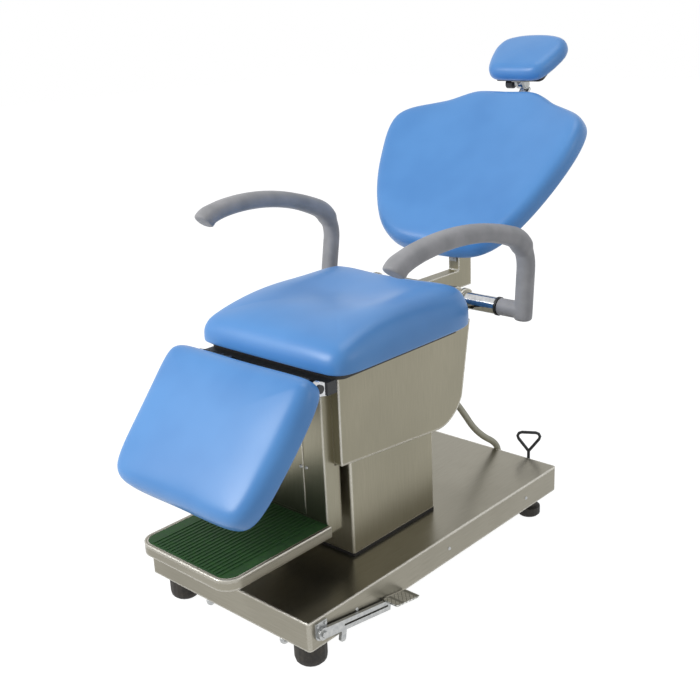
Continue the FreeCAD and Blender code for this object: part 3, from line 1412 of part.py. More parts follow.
def conduit_radii():
    points = conduit_vectors()
    radii = []
    for index in range(1, len(points) - 1):
        before = points[index].sub(points[index - 1])
        after = points[index + 1].sub(points[index])
        shorter = min(before.Length, after.Length)
        radii.append(0.45 * shorter / math.tan(before.getAngle(after) / 2))
    return radii


def conduit():
    wire = rounded_path(list(reversed(conduit_vectors())), list(reversed(conduit_radii())))
    tube = tube_along(wire, CONDUIT_RADIUS, SMALL_SIDES)
    section = Part.Face(polygon(SMALL_SIDES, CONDUIT_RADIUS, CONDUIT_RADIUS))
    print("conduit bend radii", [round(radius) for radius in conduit_radii()])
    print("conduit length", round(wire.Length, 1), "volume ratio", round(tube.Volume / section.Area / wire.Length, 4))
    return tube


def conduit_plug(radius, beyond):
    points = conduit_vectors()
    way = points[1].sub(points[0]).normalize()
    start = points[0].sub(Vector(way).multiply(GLAND_LENGTH + 6))
    return faceted_rod(radius, start, points[0].add(Vector(way).multiply(beyond)))


def upper_gland():
    points = conduit_vectors()
    way = points[1].sub(points[0]).normalize()
    body = CONDUIT_RADIUS + 2.0
    nut = CONDUIT_RADIUS + 6.5
    profile = [(body, 0), (body, GLAND_LENGTH - 12), (nut, GLAND_LENGTH - 12), (nut, GLAND_LENGTH)]
    return aimed(turning(profile, SMALL_SIDES), points[0].sub(Vector(way).multiply(GLAND_LENGTH)), way)


def rear_junction():
    points = conduit_vectors()
    end = points[-1]
    way = points[-2].sub(end).normalize()
    gland = faceted_rod(CONDUIT_RADIUS + 5, end.sub(Vector(way).multiply(12)), end)
    block = box(end.x - 24, end.x + 24, BASE_REAR, end.y + 20, end.z - 26, end.z - 8)
    return joined([block, gland])


def build():
    swing_back = (BACK_RECLINE_MORE + BACK_RAISE) / 2
    swing_leg = (LEG_RAISE + LEG_LOWER) / 2
    back_rod_y = PIVOT_Y + pin_offset(BACK_DRIVE_DROP, BACK_RECLINE_MORE - swing_back)
    leg_rod_y = LEG_Y + pin_offset(LEG_DRIVE_DROP, LEG_RAISE - swing_leg)
    back_rod_z = PIVOT_Z - BACK_DRIVE_DROP
    leg_rod_z = LEG_Z - LEG_DRIVE_DROP
    back_housing_start = MIDDLE_BAR_Y + MIDDLE_BAR_DEPTH
    right_arm = turned(mirrored(arm_rest()), PIVOT, -RIGHT_ARM_LIFT)
    nodes = {
        "base_cover": [base_cover()],
        "base_frame": [base_frame()],
        "base_screws": side_screws(),
        "front_feet": [front_foot(x, -y) for x, y in foot_places()],
        "rear_feet": [rear_foot(x, y) for x, y in foot_places()],
        "foot_washers": foot_washers(),
        "transport_balls": [transport_ball(-BALL_SPACING / 2), transport_ball(BALL_SPACING / 2)],
        "column_gasket": [column_gasket()],
        "lower_cover": [lower_cover()],
        "lift_outer_tube": [lift_outer_tube()],
        "glide_pads": glide_pads(),
        "flange_bolts": flange_bolts(),
        "lift_motor": [lift_motor()],
        "control_box": [control_box()],
        "rear_junction": [rear_junction()],
        "loop_bracket": [loop_bracket()],
        "pull_loop": [pull_loop()],
        "pedal_pivot": [pedal_pivot()],
        "pedal_bolts": pedal_bolts(),
        "pedal_lever": [pedal_lever()],
        "pedal_pad": [pedal_pad()],
        "conduit": [conduit()],
        "lift_inner_tube": [lift_inner_tube()],
        "upper_cover": [upper_cover()],
        "panel_screws": cover_screws() + front_plate_screws(),
        "upper_gland": [upper_gland()],
        "carrier_panel": [carrier_panel()],
        "front_plate": [front_plate()],
        "footrest_tray": [footrest_tray()],
        "footrest_mat": [footrest_mat()],
        "footrest_brackets": footrest_brackets(),
        "seat_frame": [seat_frame()],
        "seat_board": [seat_board()],
        "seat_cushion": [seat_cushion()],
        "cross_tube": [cross_tube()],
        "tube_saddles": pair(saddle()),
        "arm_collars": pair(arm_collar()),
        "arm_pins": pair(arm_pin()),
        "leg_brackets": pair(leg_bracket()),
        "leg_shaft": [leg_shaft()],
        "armrest_left": [arm_rest()],
        "armrest_right": [right_arm],
        "back_drive_housing": [drive_housing(DRIVE_X, back_housing_start, BACK_HOUSING_END, back_rod_z, False)],
        "back_drive_rod": [drive_rod(DRIVE_X, back_rod_y, back_rod_z, DRIVE_ROD_LENGTH, -1)],
        "leg_drive_housing": [drive_housing(-DRIVE_X, LEG_HOUSING_FRONT, LEG_HOUSING_REAR, leg_rod_z, True)],
        "leg_drive_rod": [drive_rod(-DRIVE_X, leg_rod_y, leg_rod_z, DRIVE_ROD_LENGTH, 1)],
        "leg_frame": [leg_frame()],
        "leg_board": [leg_board()],
        "leg_cushion": [leg_cushion()],
        "back_carrier": [back_carrier()],
        "back_bolts": back_bolts() + [post_bolt()],
        "back_board": [back_board()],
        "back_cushion": [back_cushion()],
        "headrest_guide": [headrest_guide()],
        "headrest_clamp": [headrest_clamp()],
        "headrest_bar": [headrest_bar()],
        "headrest_fork": [headrest_fork()],
        "headrest_knob": [headrest_knob()],
        "headrest_board": [headrest_board()],
        "headrest_cushion": [headrest_cushion()],
    }
    return nodes


os.makedirs("parts", exist_ok=True)
for node, solids in build().items():
    save(node, solids)
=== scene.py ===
"""Reclining examination chair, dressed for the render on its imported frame.

Lengths in the dataclasses are millimetres, and the meshes are metres in the frame's axes: +X is the
sitter's left, the sitter faces -Y, and +Z is up.
"""

import json
import logging
import math
from dataclasses import dataclass, field
from enum import Enum
from typing import Any, Callable, Sequence

import bmesh
import bpy
import numpy as np
from mathutils import Matrix, Vector

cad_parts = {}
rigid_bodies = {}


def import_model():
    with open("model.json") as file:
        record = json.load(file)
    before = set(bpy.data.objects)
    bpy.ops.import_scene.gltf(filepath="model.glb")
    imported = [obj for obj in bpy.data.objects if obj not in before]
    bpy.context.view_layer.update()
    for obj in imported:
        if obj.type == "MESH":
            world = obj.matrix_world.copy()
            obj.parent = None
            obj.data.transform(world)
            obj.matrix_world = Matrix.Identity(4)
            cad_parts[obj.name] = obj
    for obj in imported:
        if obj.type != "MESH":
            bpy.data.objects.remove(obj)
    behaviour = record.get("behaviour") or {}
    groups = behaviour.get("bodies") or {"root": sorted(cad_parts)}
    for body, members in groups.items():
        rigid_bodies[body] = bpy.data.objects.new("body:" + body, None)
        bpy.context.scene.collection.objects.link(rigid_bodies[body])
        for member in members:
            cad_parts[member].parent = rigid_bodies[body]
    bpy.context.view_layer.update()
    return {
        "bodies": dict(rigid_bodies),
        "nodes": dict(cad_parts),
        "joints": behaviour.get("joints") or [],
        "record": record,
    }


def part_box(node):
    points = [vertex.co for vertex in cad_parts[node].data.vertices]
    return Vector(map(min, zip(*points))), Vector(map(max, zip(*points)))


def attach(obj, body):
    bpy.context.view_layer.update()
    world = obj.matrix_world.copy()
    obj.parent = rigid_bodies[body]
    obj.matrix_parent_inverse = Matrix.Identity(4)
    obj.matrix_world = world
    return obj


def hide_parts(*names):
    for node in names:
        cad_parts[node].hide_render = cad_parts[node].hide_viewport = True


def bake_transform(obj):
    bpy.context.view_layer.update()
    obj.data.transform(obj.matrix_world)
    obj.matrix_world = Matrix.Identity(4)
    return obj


MM = 0.001
LOG = logging.getLogger("chair")

# The short cloth simulation that fills a cushion
CLOTH_FRAMES = 20
CLOTH_QUALITY = 5
CLOTH_MASS = 0.4
CLOTH_STRETCH = 25.0
CLOTH_BENDING = 3.0
EVEN_ROUNDS = 40
RELAX_ROUNDS = 8

Pair = tuple[float, float]
Triple = tuple[float, float, float]
Relief = Callable[[float, float], float]
Piece = bpy.types.Object
Node = bpy.types.Node
Socket = bpy.types.NodeSocket
Tree = bpy.types.NodeTree
Drawing = bmesh.types.BMesh
Corner = bmesh.types.BMVert


class Brushing(Enum):
    """The way that the brush marks run on sheet steel."""

    ALONG_X = (0.02, 1.0, 1.0)
    ALONG_Y = (1.0, 0.02, 1.0)
    ALONG_Z = (1.0, 1.0, 0.02)


def linear(hex_colour: str) -> tuple[float, float, float, float]:
    """Turns an sRGB hex colour to linear light.

    Args:
        hex_colour: Six hex digits with a leading hash.

    Returns:
        Red, green, blue and an alpha of 1.
    """
    channels = [int(hex_colour[start:start + 2], 16) / 255 for start in (1, 3, 5)]
    bent = [c / 12.92 if c <= 0.04045 else ((c + 0.055) / 1.055) ** 2.4 for c in channels]
    return bent[0], bent[1], bent[2], 1.0


def add_node(tree: Tree, kind: str, inputs: dict[str | int, Any] | None = None, **settings: Any) -> Node:
    """Adds a shader node with its settings, values and links.

    Args:
        tree: The node tree that takes the node.
        kind: The node's type name after its leading ShaderNode.
        inputs: Socket name or number to a value, or to an output socket that is linked to it.
        **settings: Attributes of the node itself.

    Returns:
        The new node.
    """
    made = tree.nodes.new(f"ShaderNode{kind}")
    for name, value in settings.items():
        setattr(made, name, value)
    for key, value in (inputs or {}).items():
        if isinstance(value, Socket):
            tree.links.new(value, made.inputs[key])
        else:
            made.inputs[key].default_value = value
    return made


def ramp(tree: Tree, factor: Socket, stops: Sequence[tuple[float, str]]) -> Socket:
    """Adds a colour ramp and returns its colour.

    Args:
        tree: The node tree.
        factor: What drives the ramp.
        stops: Places from 0 to 1 with their hex colours.

    Returns:
        The ramp's colour output.
    """
    made = add_node(tree, "ValToRGB", {"Fac": factor})
    elements = made.color_ramp.elements
    while len(elements) < len(stops):
        elements.new(0.5)
    for element, (place, colour) in zip(elements, stops):
        element.position = place
        element.color = linear(colour)
    return made.outputs["Color"]


def per_metre(size_mm: float) -> float:
    """Turns the size of one mark in millimetres to a texture scale."""
    return 1.0 / (size_mm * MM)


def as_object(mesh: Drawing, name: str) -> Piece:
    """Puts a drawn mesh into the scene and frees the drawing.

    Args:
        mesh: The drawn mesh.
        name: The name of the object and of its data.

    Returns:
        The new object.
    """
    data = bpy.data.meshes.new(name)
    mesh.to_mesh(data)
    mesh.free()
    made = bpy.data.objects.new(name, data)
    bpy.context.collection.objects.link(made)
    return made


def join_rings(mesh: Drawing, rings: Sequence[Sequence[Corner]]) -> None:
    """Joins each ring of corners to the next with four-sided faces.

    Args:
        mesh: The drawing that holds the corners.
        rings: Closed rings with the same number of corners, in order.
    """
    for lower, upper in zip(rings, rings[1:]):
        count = len(lower)
        for index in range(count):
            after = (index + 1) % count
            mesh.faces.new((lower[index], lower[after], upper[after], upper[index]))


def shade_smooth(piece: Piece) -> None:
    """Shades all of a piece's faces smoothly."""
    for polygon in piece.data.polygons:
        polygon.use_smooth = True


@dataclass(frozen=True)
class Finish:
    """A surface that a maker would name, with the colour it is seen in."""

    name: str
    colour: str

    def material(self) -> bpy.types.Material:
        """Returns the finish as a Blender material, made once."""
        found = bpy.data.materials.get(self.name)
        if found:
            return found
        made = bpy.data.materials.new(self.name)
        made.use_nodes = True
        made.node_tree.nodes.clear()
        shader = self.shader(made.node_tree)
        add_node(made.node_tree, "OutputMaterial", {"Surface": shader.outputs["BSDF"]})
        return made

    def shader(self, tree: Tree) -> Node:
        """Builds the surface shader. Each finish has its own."""
        raise NotImplementedError

    def place(self, tree: Tree) -> Socket:
        """Returns the object's own coordinates in metres."""
        return add_node(tree, "TexCoord").outputs["Object"]

    def noise(self, tree: Tree, size_mm: float, detail: float = 3.0, place: Socket | None = None) -> Socket:
        """Returns smooth noise with marks of the stated size."""
        made = add_node(tree, "TexNoise", {
            "Vector": place or self.place(tree), "Scale": per_metre(size_mm), "Detail": detail,
        })
        return made.outputs["Fac"]

    def rough(self, tree: Tree, factor: Socket, low: float, high: float) -> Socket:
        """Spreads a factor between two roughness values."""
        spread = {"Value": factor, "To Min": low, "To Max": high}
        return add_node(tree, "MapRange", spread).outputs["Result"]

    def bump(self, tree: Tree, height: Socket, depth_mm: float, strength: float,
             under: Socket | None = None) -> Socket:
        """Returns a normal raised by a height of the stated depth, over another normal if one is given."""
        raised = {"Height": height, "Distance": depth_mm * MM, "Strength": strength}
        if under:
            raised["Normal"] = under
        return add_node(tree, "Bump", raised).outputs["Normal"]

    def surface(self, tree: Tree, marks: Socket, stops: Sequence[tuple[float, str]], low: float, high: float,
                **others: Any) -> Node:
        """Builds a surface whose colour and roughness, from low to high, follow the same marks."""
        return add_node(tree, "BsdfPrincipled", {
            "Base Color": ramp(tree, marks, stops), "Roughness": self.rough(tree, marks, low, high), **others,
        })


@dataclass(frozen=True)
class CalenderedVinyl(Finish):
    """PVC-coated upholstery fabric, calendered with a fine pebble: soft sheen and slow shade changes."""

    shade: str
    pebble_mm: float = 2.2
    ripple_mm: float = 38.0
    patch_mm: float = 160.0

    def shader(self, tree: Tree) -> Node:
        """Builds the vinyl."""
        cloud = self.noise(tree, self.patch_mm, 2.0)
        cells = {"Vector": self.place(tree), "Scale": per_metre(self.pebble_mm)}
        pebble = add_node(tree, "TexVoronoi", cells)
        # The real pebble is near 0.6 mm; it is drawn coarser so that it shows.
        fine = self.bump(tree, pebble.outputs["Distance"], 0.12, 0.35)
        ripple = self.bump(tree, self.noise(tree, self.ripple_mm, 1.5), 0.9, 0.22, fine)
        sheen = {"Coat Weight": 0.08, "Coat Roughness": 0.25, "Sheen Weight": 0.03}
        stops = [(0.36, self.shade), (0.64, self.colour)]
        return self.surface(tree, cloud, stops, 0.34, 0.42, IOR=1.53, Normal=ripple, **sheen)


@dataclass(frozen=True)
class BrushedStainless(Finish):
    """Stainless sheet, belt-brushed and folded: satin grey, hardly streaked, with a pale highlight painted
    along its bends.
    """

    streak: str
    # The pale colour painted along the bends as a highlight.
    bend: str
    brushing: Brushing = Brushing.ALONG_Z
    end_brushing: Brushing = Brushing.ALONG_Z
    grit_mm: float = 1.1
    patch_mm: float = 260.0
    bend_mm: float = 6.0
    low_rough: float = 0.26
    high_rough: float = 0.36

    def marks(self, tree: Tree, way: Brushing) -> Socket:
        """Returns brush marks that run one way."""
        stretched = add_node(tree, "Mapping", {"Vector": self.place(tree), "Scale": way.value})
        # The real grit is near 0.3 mm; it is drawn coarser so that it shows.
        return self.noise(tree, self.grit_mm, 3.0, stretched.outputs["Vector"])

    def faces_front(self, tree: Tree) -> Socket:
        """Returns 1 where the sheet looks along Y and 0 elsewhere."""
        normal = add_node(tree, "TexCoord").outputs["Normal"]
        parts = add_node(tree, "SeparateXYZ", {0: normal})
        size = add_node(tree, "Math", {0: parts.outputs["Y"]}, operation="ABSOLUTE")
        front = add_node(tree, "Math", {0: size.outputs["Value"], 1: 0.7}, operation="GREATER_THAN")
        return front.outputs["Value"]

    def shader(self, tree: Tree) -> Node:
        """Builds the brushed sheet."""
        marks = self.marks(tree, self.brushing)
        if self.end_brushing is not self.brushing:
            mixed = add_node(tree, "Mix", {
                "Factor": self.faces_front(tree), "A": marks, "B": self.marks(tree, self.end_brushing),
            })
            marks = mixed.outputs["Result"]
        cloud = self.noise(tree, self.patch_mm, 2.0)
        blend = add_node(tree, "Math", {0: marks, 1: cloud}, operation="MULTIPLY")
        plain = ramp(tree, blend.outputs["Value"], [(0.12, self.streak), (0.38, self.colour)])
        # The bevel rounds the bends' normals, and a pale highlight is painted into the colour along them.
        rounded = add_node(tree, "Bevel", {"Radius": self.bend_mm * MM}, samples=4)
        folded = self.fold(tree, rounded.outputs["Normal"])
        # By number, because each kind of data has its own sockets named A and B: 6 and 7 are the colours.
        shades = {"Factor": folded, 6: plain, 7: linear(self.bend)}
        bend_highlight = add_node(tree, "Mix", shades, data_type="RGBA")
        scratched = self.bump(tree, marks, 0.03, 0.2, rounded.outputs["Normal"])
        return add_node(tree, "BsdfPrincipled", {
            "Base Color": bend_highlight.outputs[2], "Metallic": 1.0, "Normal": scratched,
            "Roughness": self.rough(tree, marks, self.low_rough, self.high_rough),
        })

    def fold(self, tree: Tree, rounded: Socket) -> Socket:
        """Returns 1 along a bend, where a highlight is painted into the colour, and 0 on the flat of the
        sheet.
        """
        flat = add_node(tree, "NewGeometry").outputs["True Normal"]
        dot = add_node(tree, "VectorMath", {0: rounded, 1: flat}, operation="DOT_PRODUCT")
        spread = {"Value": dot.outputs["Value"], "From Min": 0.998, "From Max": 0.96}
        return add_node(tree, "MapRange", spread).outputs["Result"]


@dataclass(frozen=True)
class PolishedChrome(Finish):
    """Chrome plating on steel, buffed: clear reflections with faint handling marks."""

    bright: str

    def shader(self, tree: Tree) -> Node:
        """Builds the plating."""
        marks = self.noise(tree, 9.0, 3.0)
        return self.surface(tree, marks, [(0.3, self.colour), (0.8, self.bright)], 0.06, 0.16, Metallic=1.0)


@dataclass(frozen=True)
class ZincPlate(Finish):
    """Clear-passivated zinc plate on fasteners and small fittings: soft grey, a little mottled."""

    shade: str

    def shader(self, tree: Tree) -> Node:
        """Builds the plate."""
        spangle = self.noise(tree, 9.0, 2.0)
        return self.surface(tree, spangle, [(0.3, self.shade), (0.7, self.colour)], 0.3, 0.45, Metallic=1.0)


@dataclass(frozen=True)
class TreadPlate(Finish):
    """Aluminium plate, rolled with raised lozenges: bright, with shade painted dark into the recessed grid
    between them.
    """

    # The darker colour painted into the recessed grid as shade.
    groove: str
    lozenge_mm: float = 9.0

    def shader(self, tree: Tree) -> Node:
        """Builds the plate."""
        lean = add_node(tree, "Mapping", {
            "Vector": self.place(tree), "Rotation": (0.0, 0.0, math.radians(45)),
        })
        grid = add_node(tree, "TexVoronoi", {
            "Vector": lean.outputs["Vector"], "Scale": per_metre(self.lozenge_mm), "Randomness": 0.0,
        }, distance="CHEBYCHEV")
        raised = grid.outputs["Distance"]
        # The recessed grid between the lozenges gets the darker colour: painted shade.
        return self.surface(tree, raised, [(0.36, self.colour), (0.46, self.groove)], 0.25, 0.4, Metallic=1.0,
                            Normal=self.bump(tree, raised, -0.8, 0.8))


@dataclass(frozen=True)
class MouldedSkinFoam(Finish):
    """Integral-skin polyurethane, moulded in a grained tool: dull grey with a fine leather-like skin."""

    shade: str
    grain_mm: float = 1.8

    def shader(self, tree: Tree) -> Node:
        """Builds the skin."""
        cloud = self.noise(tree, 60.0, 3.0)
        grain = add_node(tree, "TexVoronoi", {"Vector": self.place(tree), "Scale": per_metre(self.grain_mm)})
        return self.surface(tree, cloud, [(0.35, self.shade), (0.65, self.colour)], 0.48, 0.6, IOR=1.5,
                            Normal=self.bump(tree, grain.outputs["Distance"], 0.15, 0.4))


@dataclass(frozen=True)
class Rubber(Finish):
    """Vulcanised rubber, compression moulded: matt, dusty on its proud places."""

    dust: str

    def shader(self, tree: Tree) -> Node:
        """Builds the rubber."""
        dirt = self.noise(tree, 14.0, 5.0)
        return self.surface(tree, dirt, [(0.42, self.colour), (0.75, self.dust)], 0.55, 0.8, IOR=1.52,
                            Normal=self.bump(tree, dirt, 0.2, 0.3))


@dataclass(frozen=True)
class PowderCoat(Finish):
    """Polyester powder coat, baked: an even colour with a slight orange peel."""

    light: str
    peel_mm: float = 2.5

    def shader(self, tree: Tree) -> Node:
        """Builds the coat."""
        peel = self.noise(tree, self.peel_mm, 2.0)
        return self.surface(tree, peel, [(0.2, self.colour), (0.9, self.light)], 0.32, 0.44, IOR=1.5,
                            Normal=self.bump(tree, peel, 0.08, 0.5))


@dataclass(frozen=True)
class MouldedPlastic(Finish):
    """Injection-moulded ABS or nylon with a spark-eroded texture: satin and slightly speckled."""

    light: str

    def shader(self, tree: Tree) -> Node:
        """Builds the plastic."""
        speck = self.noise(tree, 1.5, 2.0)
        return self.surface(tree, speck, [(0.3, self.colour), (0.85, self.light)], 0.36, 0.5, IOR=1.54,
                            Normal=self.bump(tree, speck, 0.05, 0.4))


@dataclass(frozen=True)
class Plywood(Finish):
    """Birch plywood, stained black and sealed: the growth lines still show along the sheet."""

    grain: str

    def shader(self, tree: Tree) -> Node:
        """Builds the wood."""
        along = add_node(tree, "Mapping", {"Vector": self.place(tree), "Scale": (1.0, 0.06, 0.06)})
        lines = self.noise(tree, 6.0, 4.0, along.outputs["Vector"])
        return self.surface(tree, lines, [(0.35, self.grain), (0.65, self.colour)], 0.45, 0.6, IOR=1.5,
                            Normal=self.bump(tree, lines, 0.1, 0.3))


BLUE_VINYL = CalenderedVinyl("blue_calendered_vinyl", "#5C9EE2", "#5496DB")
# The last colour of each stainless finish is the highlight painted along its bends.
COVER_STEEL = BrushedStainless(
    "stainless_cover_brushed", "#999482", "#8B8776", "#EDEAE2", low_rough=0.34, high_rough=0.44)
BASE_STEEL = BrushedStainless(
    "stainless_base_brushed", "#949083", "#858174", "#E6E3DA", Brushing.ALONG_Y, Brushing.ALONG_X)
FRONT_STEEL = BrushedStainless("stainless_front_brushed", "#979382", "#898574", "#DDDACF")
# The tread plate's second colour is shade painted into its recessed grid.
TREAD = TreadPlate("aluminium_tread_plate", "#DADAD6", "#8F8F8A")
CHROME = PolishedChrome("chrome_plate", "#B9BBBE", "#D9DADB")
ZINC = ZincPlate("zinc_plate", "#BFC0BE", "#A3A5A6")
ARM_SKIN = MouldedSkinFoam("grey_integral_skin_foam", "#ADACAE", "#9A9A9C")
FOOT_RUBBER = Rubber("black_moulded_rubber", "#24211D", "#4A453D")
GASKET_RUBBER = Rubber("black_extruded_rubber", "#0D0C0B", "#1B1917")
MAT_RUBBER = Rubber("green_ribbed_rubber", "#19471A", "#28591F")
FRAME_COAT = PowderCoat("black_powder_coat", "#1C1D1F", "#3A3C3E")
BLACK_ABS = MouldedPlastic("black_moulded_abs", "#151517", "#2B2B2E")
PALE_NYLON = MouldedPlastic("pale_moulded_nylon", "#C2BFA8", "#D6D3C0")
STAINED_PLY = Plywood("black_stained_plywood", "#2E2C29", "#1F1D1B")


def smooth_loop(points: Sequence[Pair], count: int) -> list[Vector]:
    """Runs a closed smooth line through points and samples it at even steps.

    Args:
        points: Corner places in order round the loop.
        count: How many samples come back.

    Returns:
        The samples as 2-D vectors.
    """
    fine: list[Vector] = []
    total = len(points)
    steps = 24
    for index in range(total):
        p0, p1, p2, p3 = (Vector(points[(index + shift) % total]) for shift in (-1, 0, 1, 2))
        for step in range(steps):
            t = step / steps
            fine.append(0.5 * (2 * p1 + (p2 - p0) * t + (2 * p0 - 5 * p1 + 4 * p2 - p3) * t * t
                               + (3 * p1 - p0 - 3 * p2 + p3) * t ** 3))
    lengths = [(fine[(index + 1) % len(fine)] - fine[index]).length for index in range(len(fine))]
    step_length = sum(lengths) / count
    samples: list[Vector] = []
    travelled = 0.0
    for index, length in enumerate(lengths):
        while len(samples) < count and travelled + length > len(samples) * step_length - 1e-9:
            share = (len(samples) * step_length - travelled) / length
            samples.append(fine[index].lerp(fine[(index + 1) % len(fine)], max(0.0, min(1.0, share))))
        travelled += length
    return samples


def mirrored_outline(half: Sequence[Pair]) -> list[Pair]:
    """Closes an outline that is drawn from its bottom middle up the right side to its top middle."""
    left = [(-x, s) for x, s in reversed(half) if abs(x) > 1e-6]
    return list(half) + left


@dataclass
class Cushion:
    """A foam pad covered in vinyl, drawn flat on a hinge line and then leaned.

    The half outline runs from the bottom middle to the top middle in millimetres: across and along.
    """

    name: str
    node: str
    body: str
    half_outline: Sequence[Pair]
    back: float
    face: float
    pivot: Vector
    slope: float
    front_round: float = 22.0
    back_round: float = 10.0
    crown: float = 5.0
    crown_power: float = 2.2
    hollow_radius: float = 0.0
    relief: Relief | None = None
    pressure: float = 3.0
    cap: float = 5.0
    fill: float = 0.8
    segments: int = 180
    inner_rings: int = 20
    held_rows: int = 4
    round_steps: int = 7
    wall_steps: int = 4
    rim_share: float = 0.3

    def profile(self) -> list[Triple]:
        """Returns inset from the outline, height and front share, from the back rim to the front rim."""
        angles = [math.pi / 2 * step / self.round_steps for step in range(self.round_steps + 1)]
        rows = [(self.back_round * (1 - math.sin(angle)),
                 self.back + self.back_round * (1 - math.cos(angle)), 0.0) for angle in angles]
        low = self.back + self.back_round
        high = self.face - self.front_round
        for step in range(1, self.wall_steps):
            rows.append((0.0, low + (high - low) * step / self.wall_steps, step / (3 * self.wall_steps)))
        for step, angle in enumerate(angles):
            share = self.rim_share + (1 - self.rim_share) * step / self.round_steps
            rows.append((self.front_round * (1 - math.cos(angle)),
                         high + self.front_round * math.sin(angle), share))
        return rows

    def surface_height(self, x: float, s: float, height: float, share: float, depth: float) -> float:
        """Adds the crown, the hollow and the relief to a height.

        Args:
            x: Place across.
            s: Place along.
            height: Height of the plain slab.
            share: 1 on the front, 0 on the back.
            depth: How far inside the outline the place is, from 0 to 1.

        Returns:
            The height over the hinge line.
        """
        raised = height + share * self.crown * (1 - (1 - depth) ** self.crown_power)
        if self.relief:
            raised += share * self.relief(x, s)
        if self.hollow_radius:
            raised += self.hollow_radius - math.sqrt(self.hollow_radius ** 2 - x * x)
        return raised

    def build(self) -> Piece:
        """Builds the pad's closed mesh, fills it and dresses it in vinyl."""
        loop = smooth_loop(mirrored_outline(self.half_outline), self.segments)
        normals = [self.outward(loop, index) for index in range(len(loop))]
        middle = sum(loop, Vector((0.0, 0.0))) / len(loop)
        reach = min((point - middle).length for point in loop)
        mesh = bmesh.new()
        rows = self.profile()
        first, last = rows[0], rows[-1]

        def ring(inset: float, pull: float, height: float, share: float) -> list[Corner]:
            """Adds the corners of one ring, inset from the outline and pulled to the middle."""
            made = []
            for point, normal in zip(loop, normals):
                rim = point - normal * inset
                flat = middle.lerp(rim, pull)
                depth = min(1.0, (1 - pull) + pull * inset / reach)
                up = self.surface_height(flat.x, flat.y, height, share, depth)
                made.append(mesh.verts.new(self.to_world(flat.x, flat.y, up)))
            return made

        pulls = [step / self.inner_rings for step in range(1, self.inner_rings)]
        levels = [(first[0], pull, first[1], 0.0) for pull in pulls]
        levels += [(inset, 1.0, height, share) for inset, height, share in rows]
        levels += [(last[0], pull, last[1], 1.0) for pull in reversed(pulls)]
        rings = [ring(*level) for level in levels]
        self.skin(mesh, rings, middle)
        bmesh.ops.recalc_face_normals(mesh, faces=mesh.faces)
        pad = as_object(mesh, self.name)
        self.finish(pad, len(rings[0]) * (self.inner_rings + self.held_rows))
        return pad

    @staticmethod
    def outward(loop: Sequence[Vector], index: int) -> Vector:
        """Returns the outline's outward direction at a sample."""
        way = loop[(index + 1) % len(loop)] - loop[index - 1]
        return Vector((way.y, -way.x)).normalized()

    def skin(self, mesh: Drawing, rings: list[list[Corner]], middle: Vector) -> None:
        """Joins the rings with faces and closes both middles."""
        count = self.segments
        join_rings(mesh, rings)
        for ends, height, share in ((rings[0], self.back, 0.0), (rings[-1], self.face, 1.0)):
            up = self.surface_height(middle.x, middle.y, height, share, 1.0)
            hub = mesh.verts.new(self.to_world(middle.x, middle.y, up))
            for index in range(count):
                mesh.faces.new((ends[index], ends[(index + 1) % count], hub))

    def to_world(self, x: float, s: float, up: float) -> Vector:
        """Leans a flat place about the hinge line."""
        flat = Vector((x, s, up)) * MM
        return Matrix.Rotation(math.radians(self.slope), 3, "X") @ flat + self.pivot

    def finish(self, pad: Piece, held: int) -> None:
        """Fills the pad, smooths it and joins it to the frame."""
        fill_with_pressure(pad, held, self.pressure, self.cap * MM)
        relax(pad, RELAX_ROUNDS)
        shade_smooth(pad)
        pad.data.materials.append(BLUE_VINYL.material())
        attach(pad, self.body)
        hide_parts(self.node)
        LOG.info("cushion %s with %d faces", self.name, len(pad.data.polygons))


def relax(pad: Piece, rounds: int) -> None:
    """Draws the cover smooth over its foam."""
    mesh = bmesh.new()
    mesh.from_mesh(pad.data)
    for _ in range(rounds):
        bmesh.ops.smooth_vert(mesh, verts=mesh.verts, factor=0.5, use_axis_x=True, use_axis_y=True,
                              use_axis_z=True)
    mesh.to_mesh(pad.data)
    mesh.free()


def evened(data: bpy.types.Mesh, shifts: list[Vector], rounds: int) -> list[Vector]:
    """Evens out how far neighbouring vertices move, as firm foam does under its cover.

    Args:
        data: The pad's mesh.
        shifts: How far each vertex moves.
        rounds: How many times each move is averaged with its neighbours.

    Returns:
        The evened moves.
    """
    ends = np.array([edge.vertices[:] for edge in data.edges])
    moves = np.array([shift[:] for shift in shifts])
    count = np.bincount(ends.ravel(), minlength=len(moves))[:, None]
    for _ in range(rounds):
        total = np.zeros_like(moves)
        np.add.at(total, ends[:, 0], moves[ends[:, 1]])
        np.add.at(total, ends[:, 1], moves[ends[:, 0]])
        moves = 0.5 * moves + 0.5 * total / count
    return [Vector(move) for move in moves]


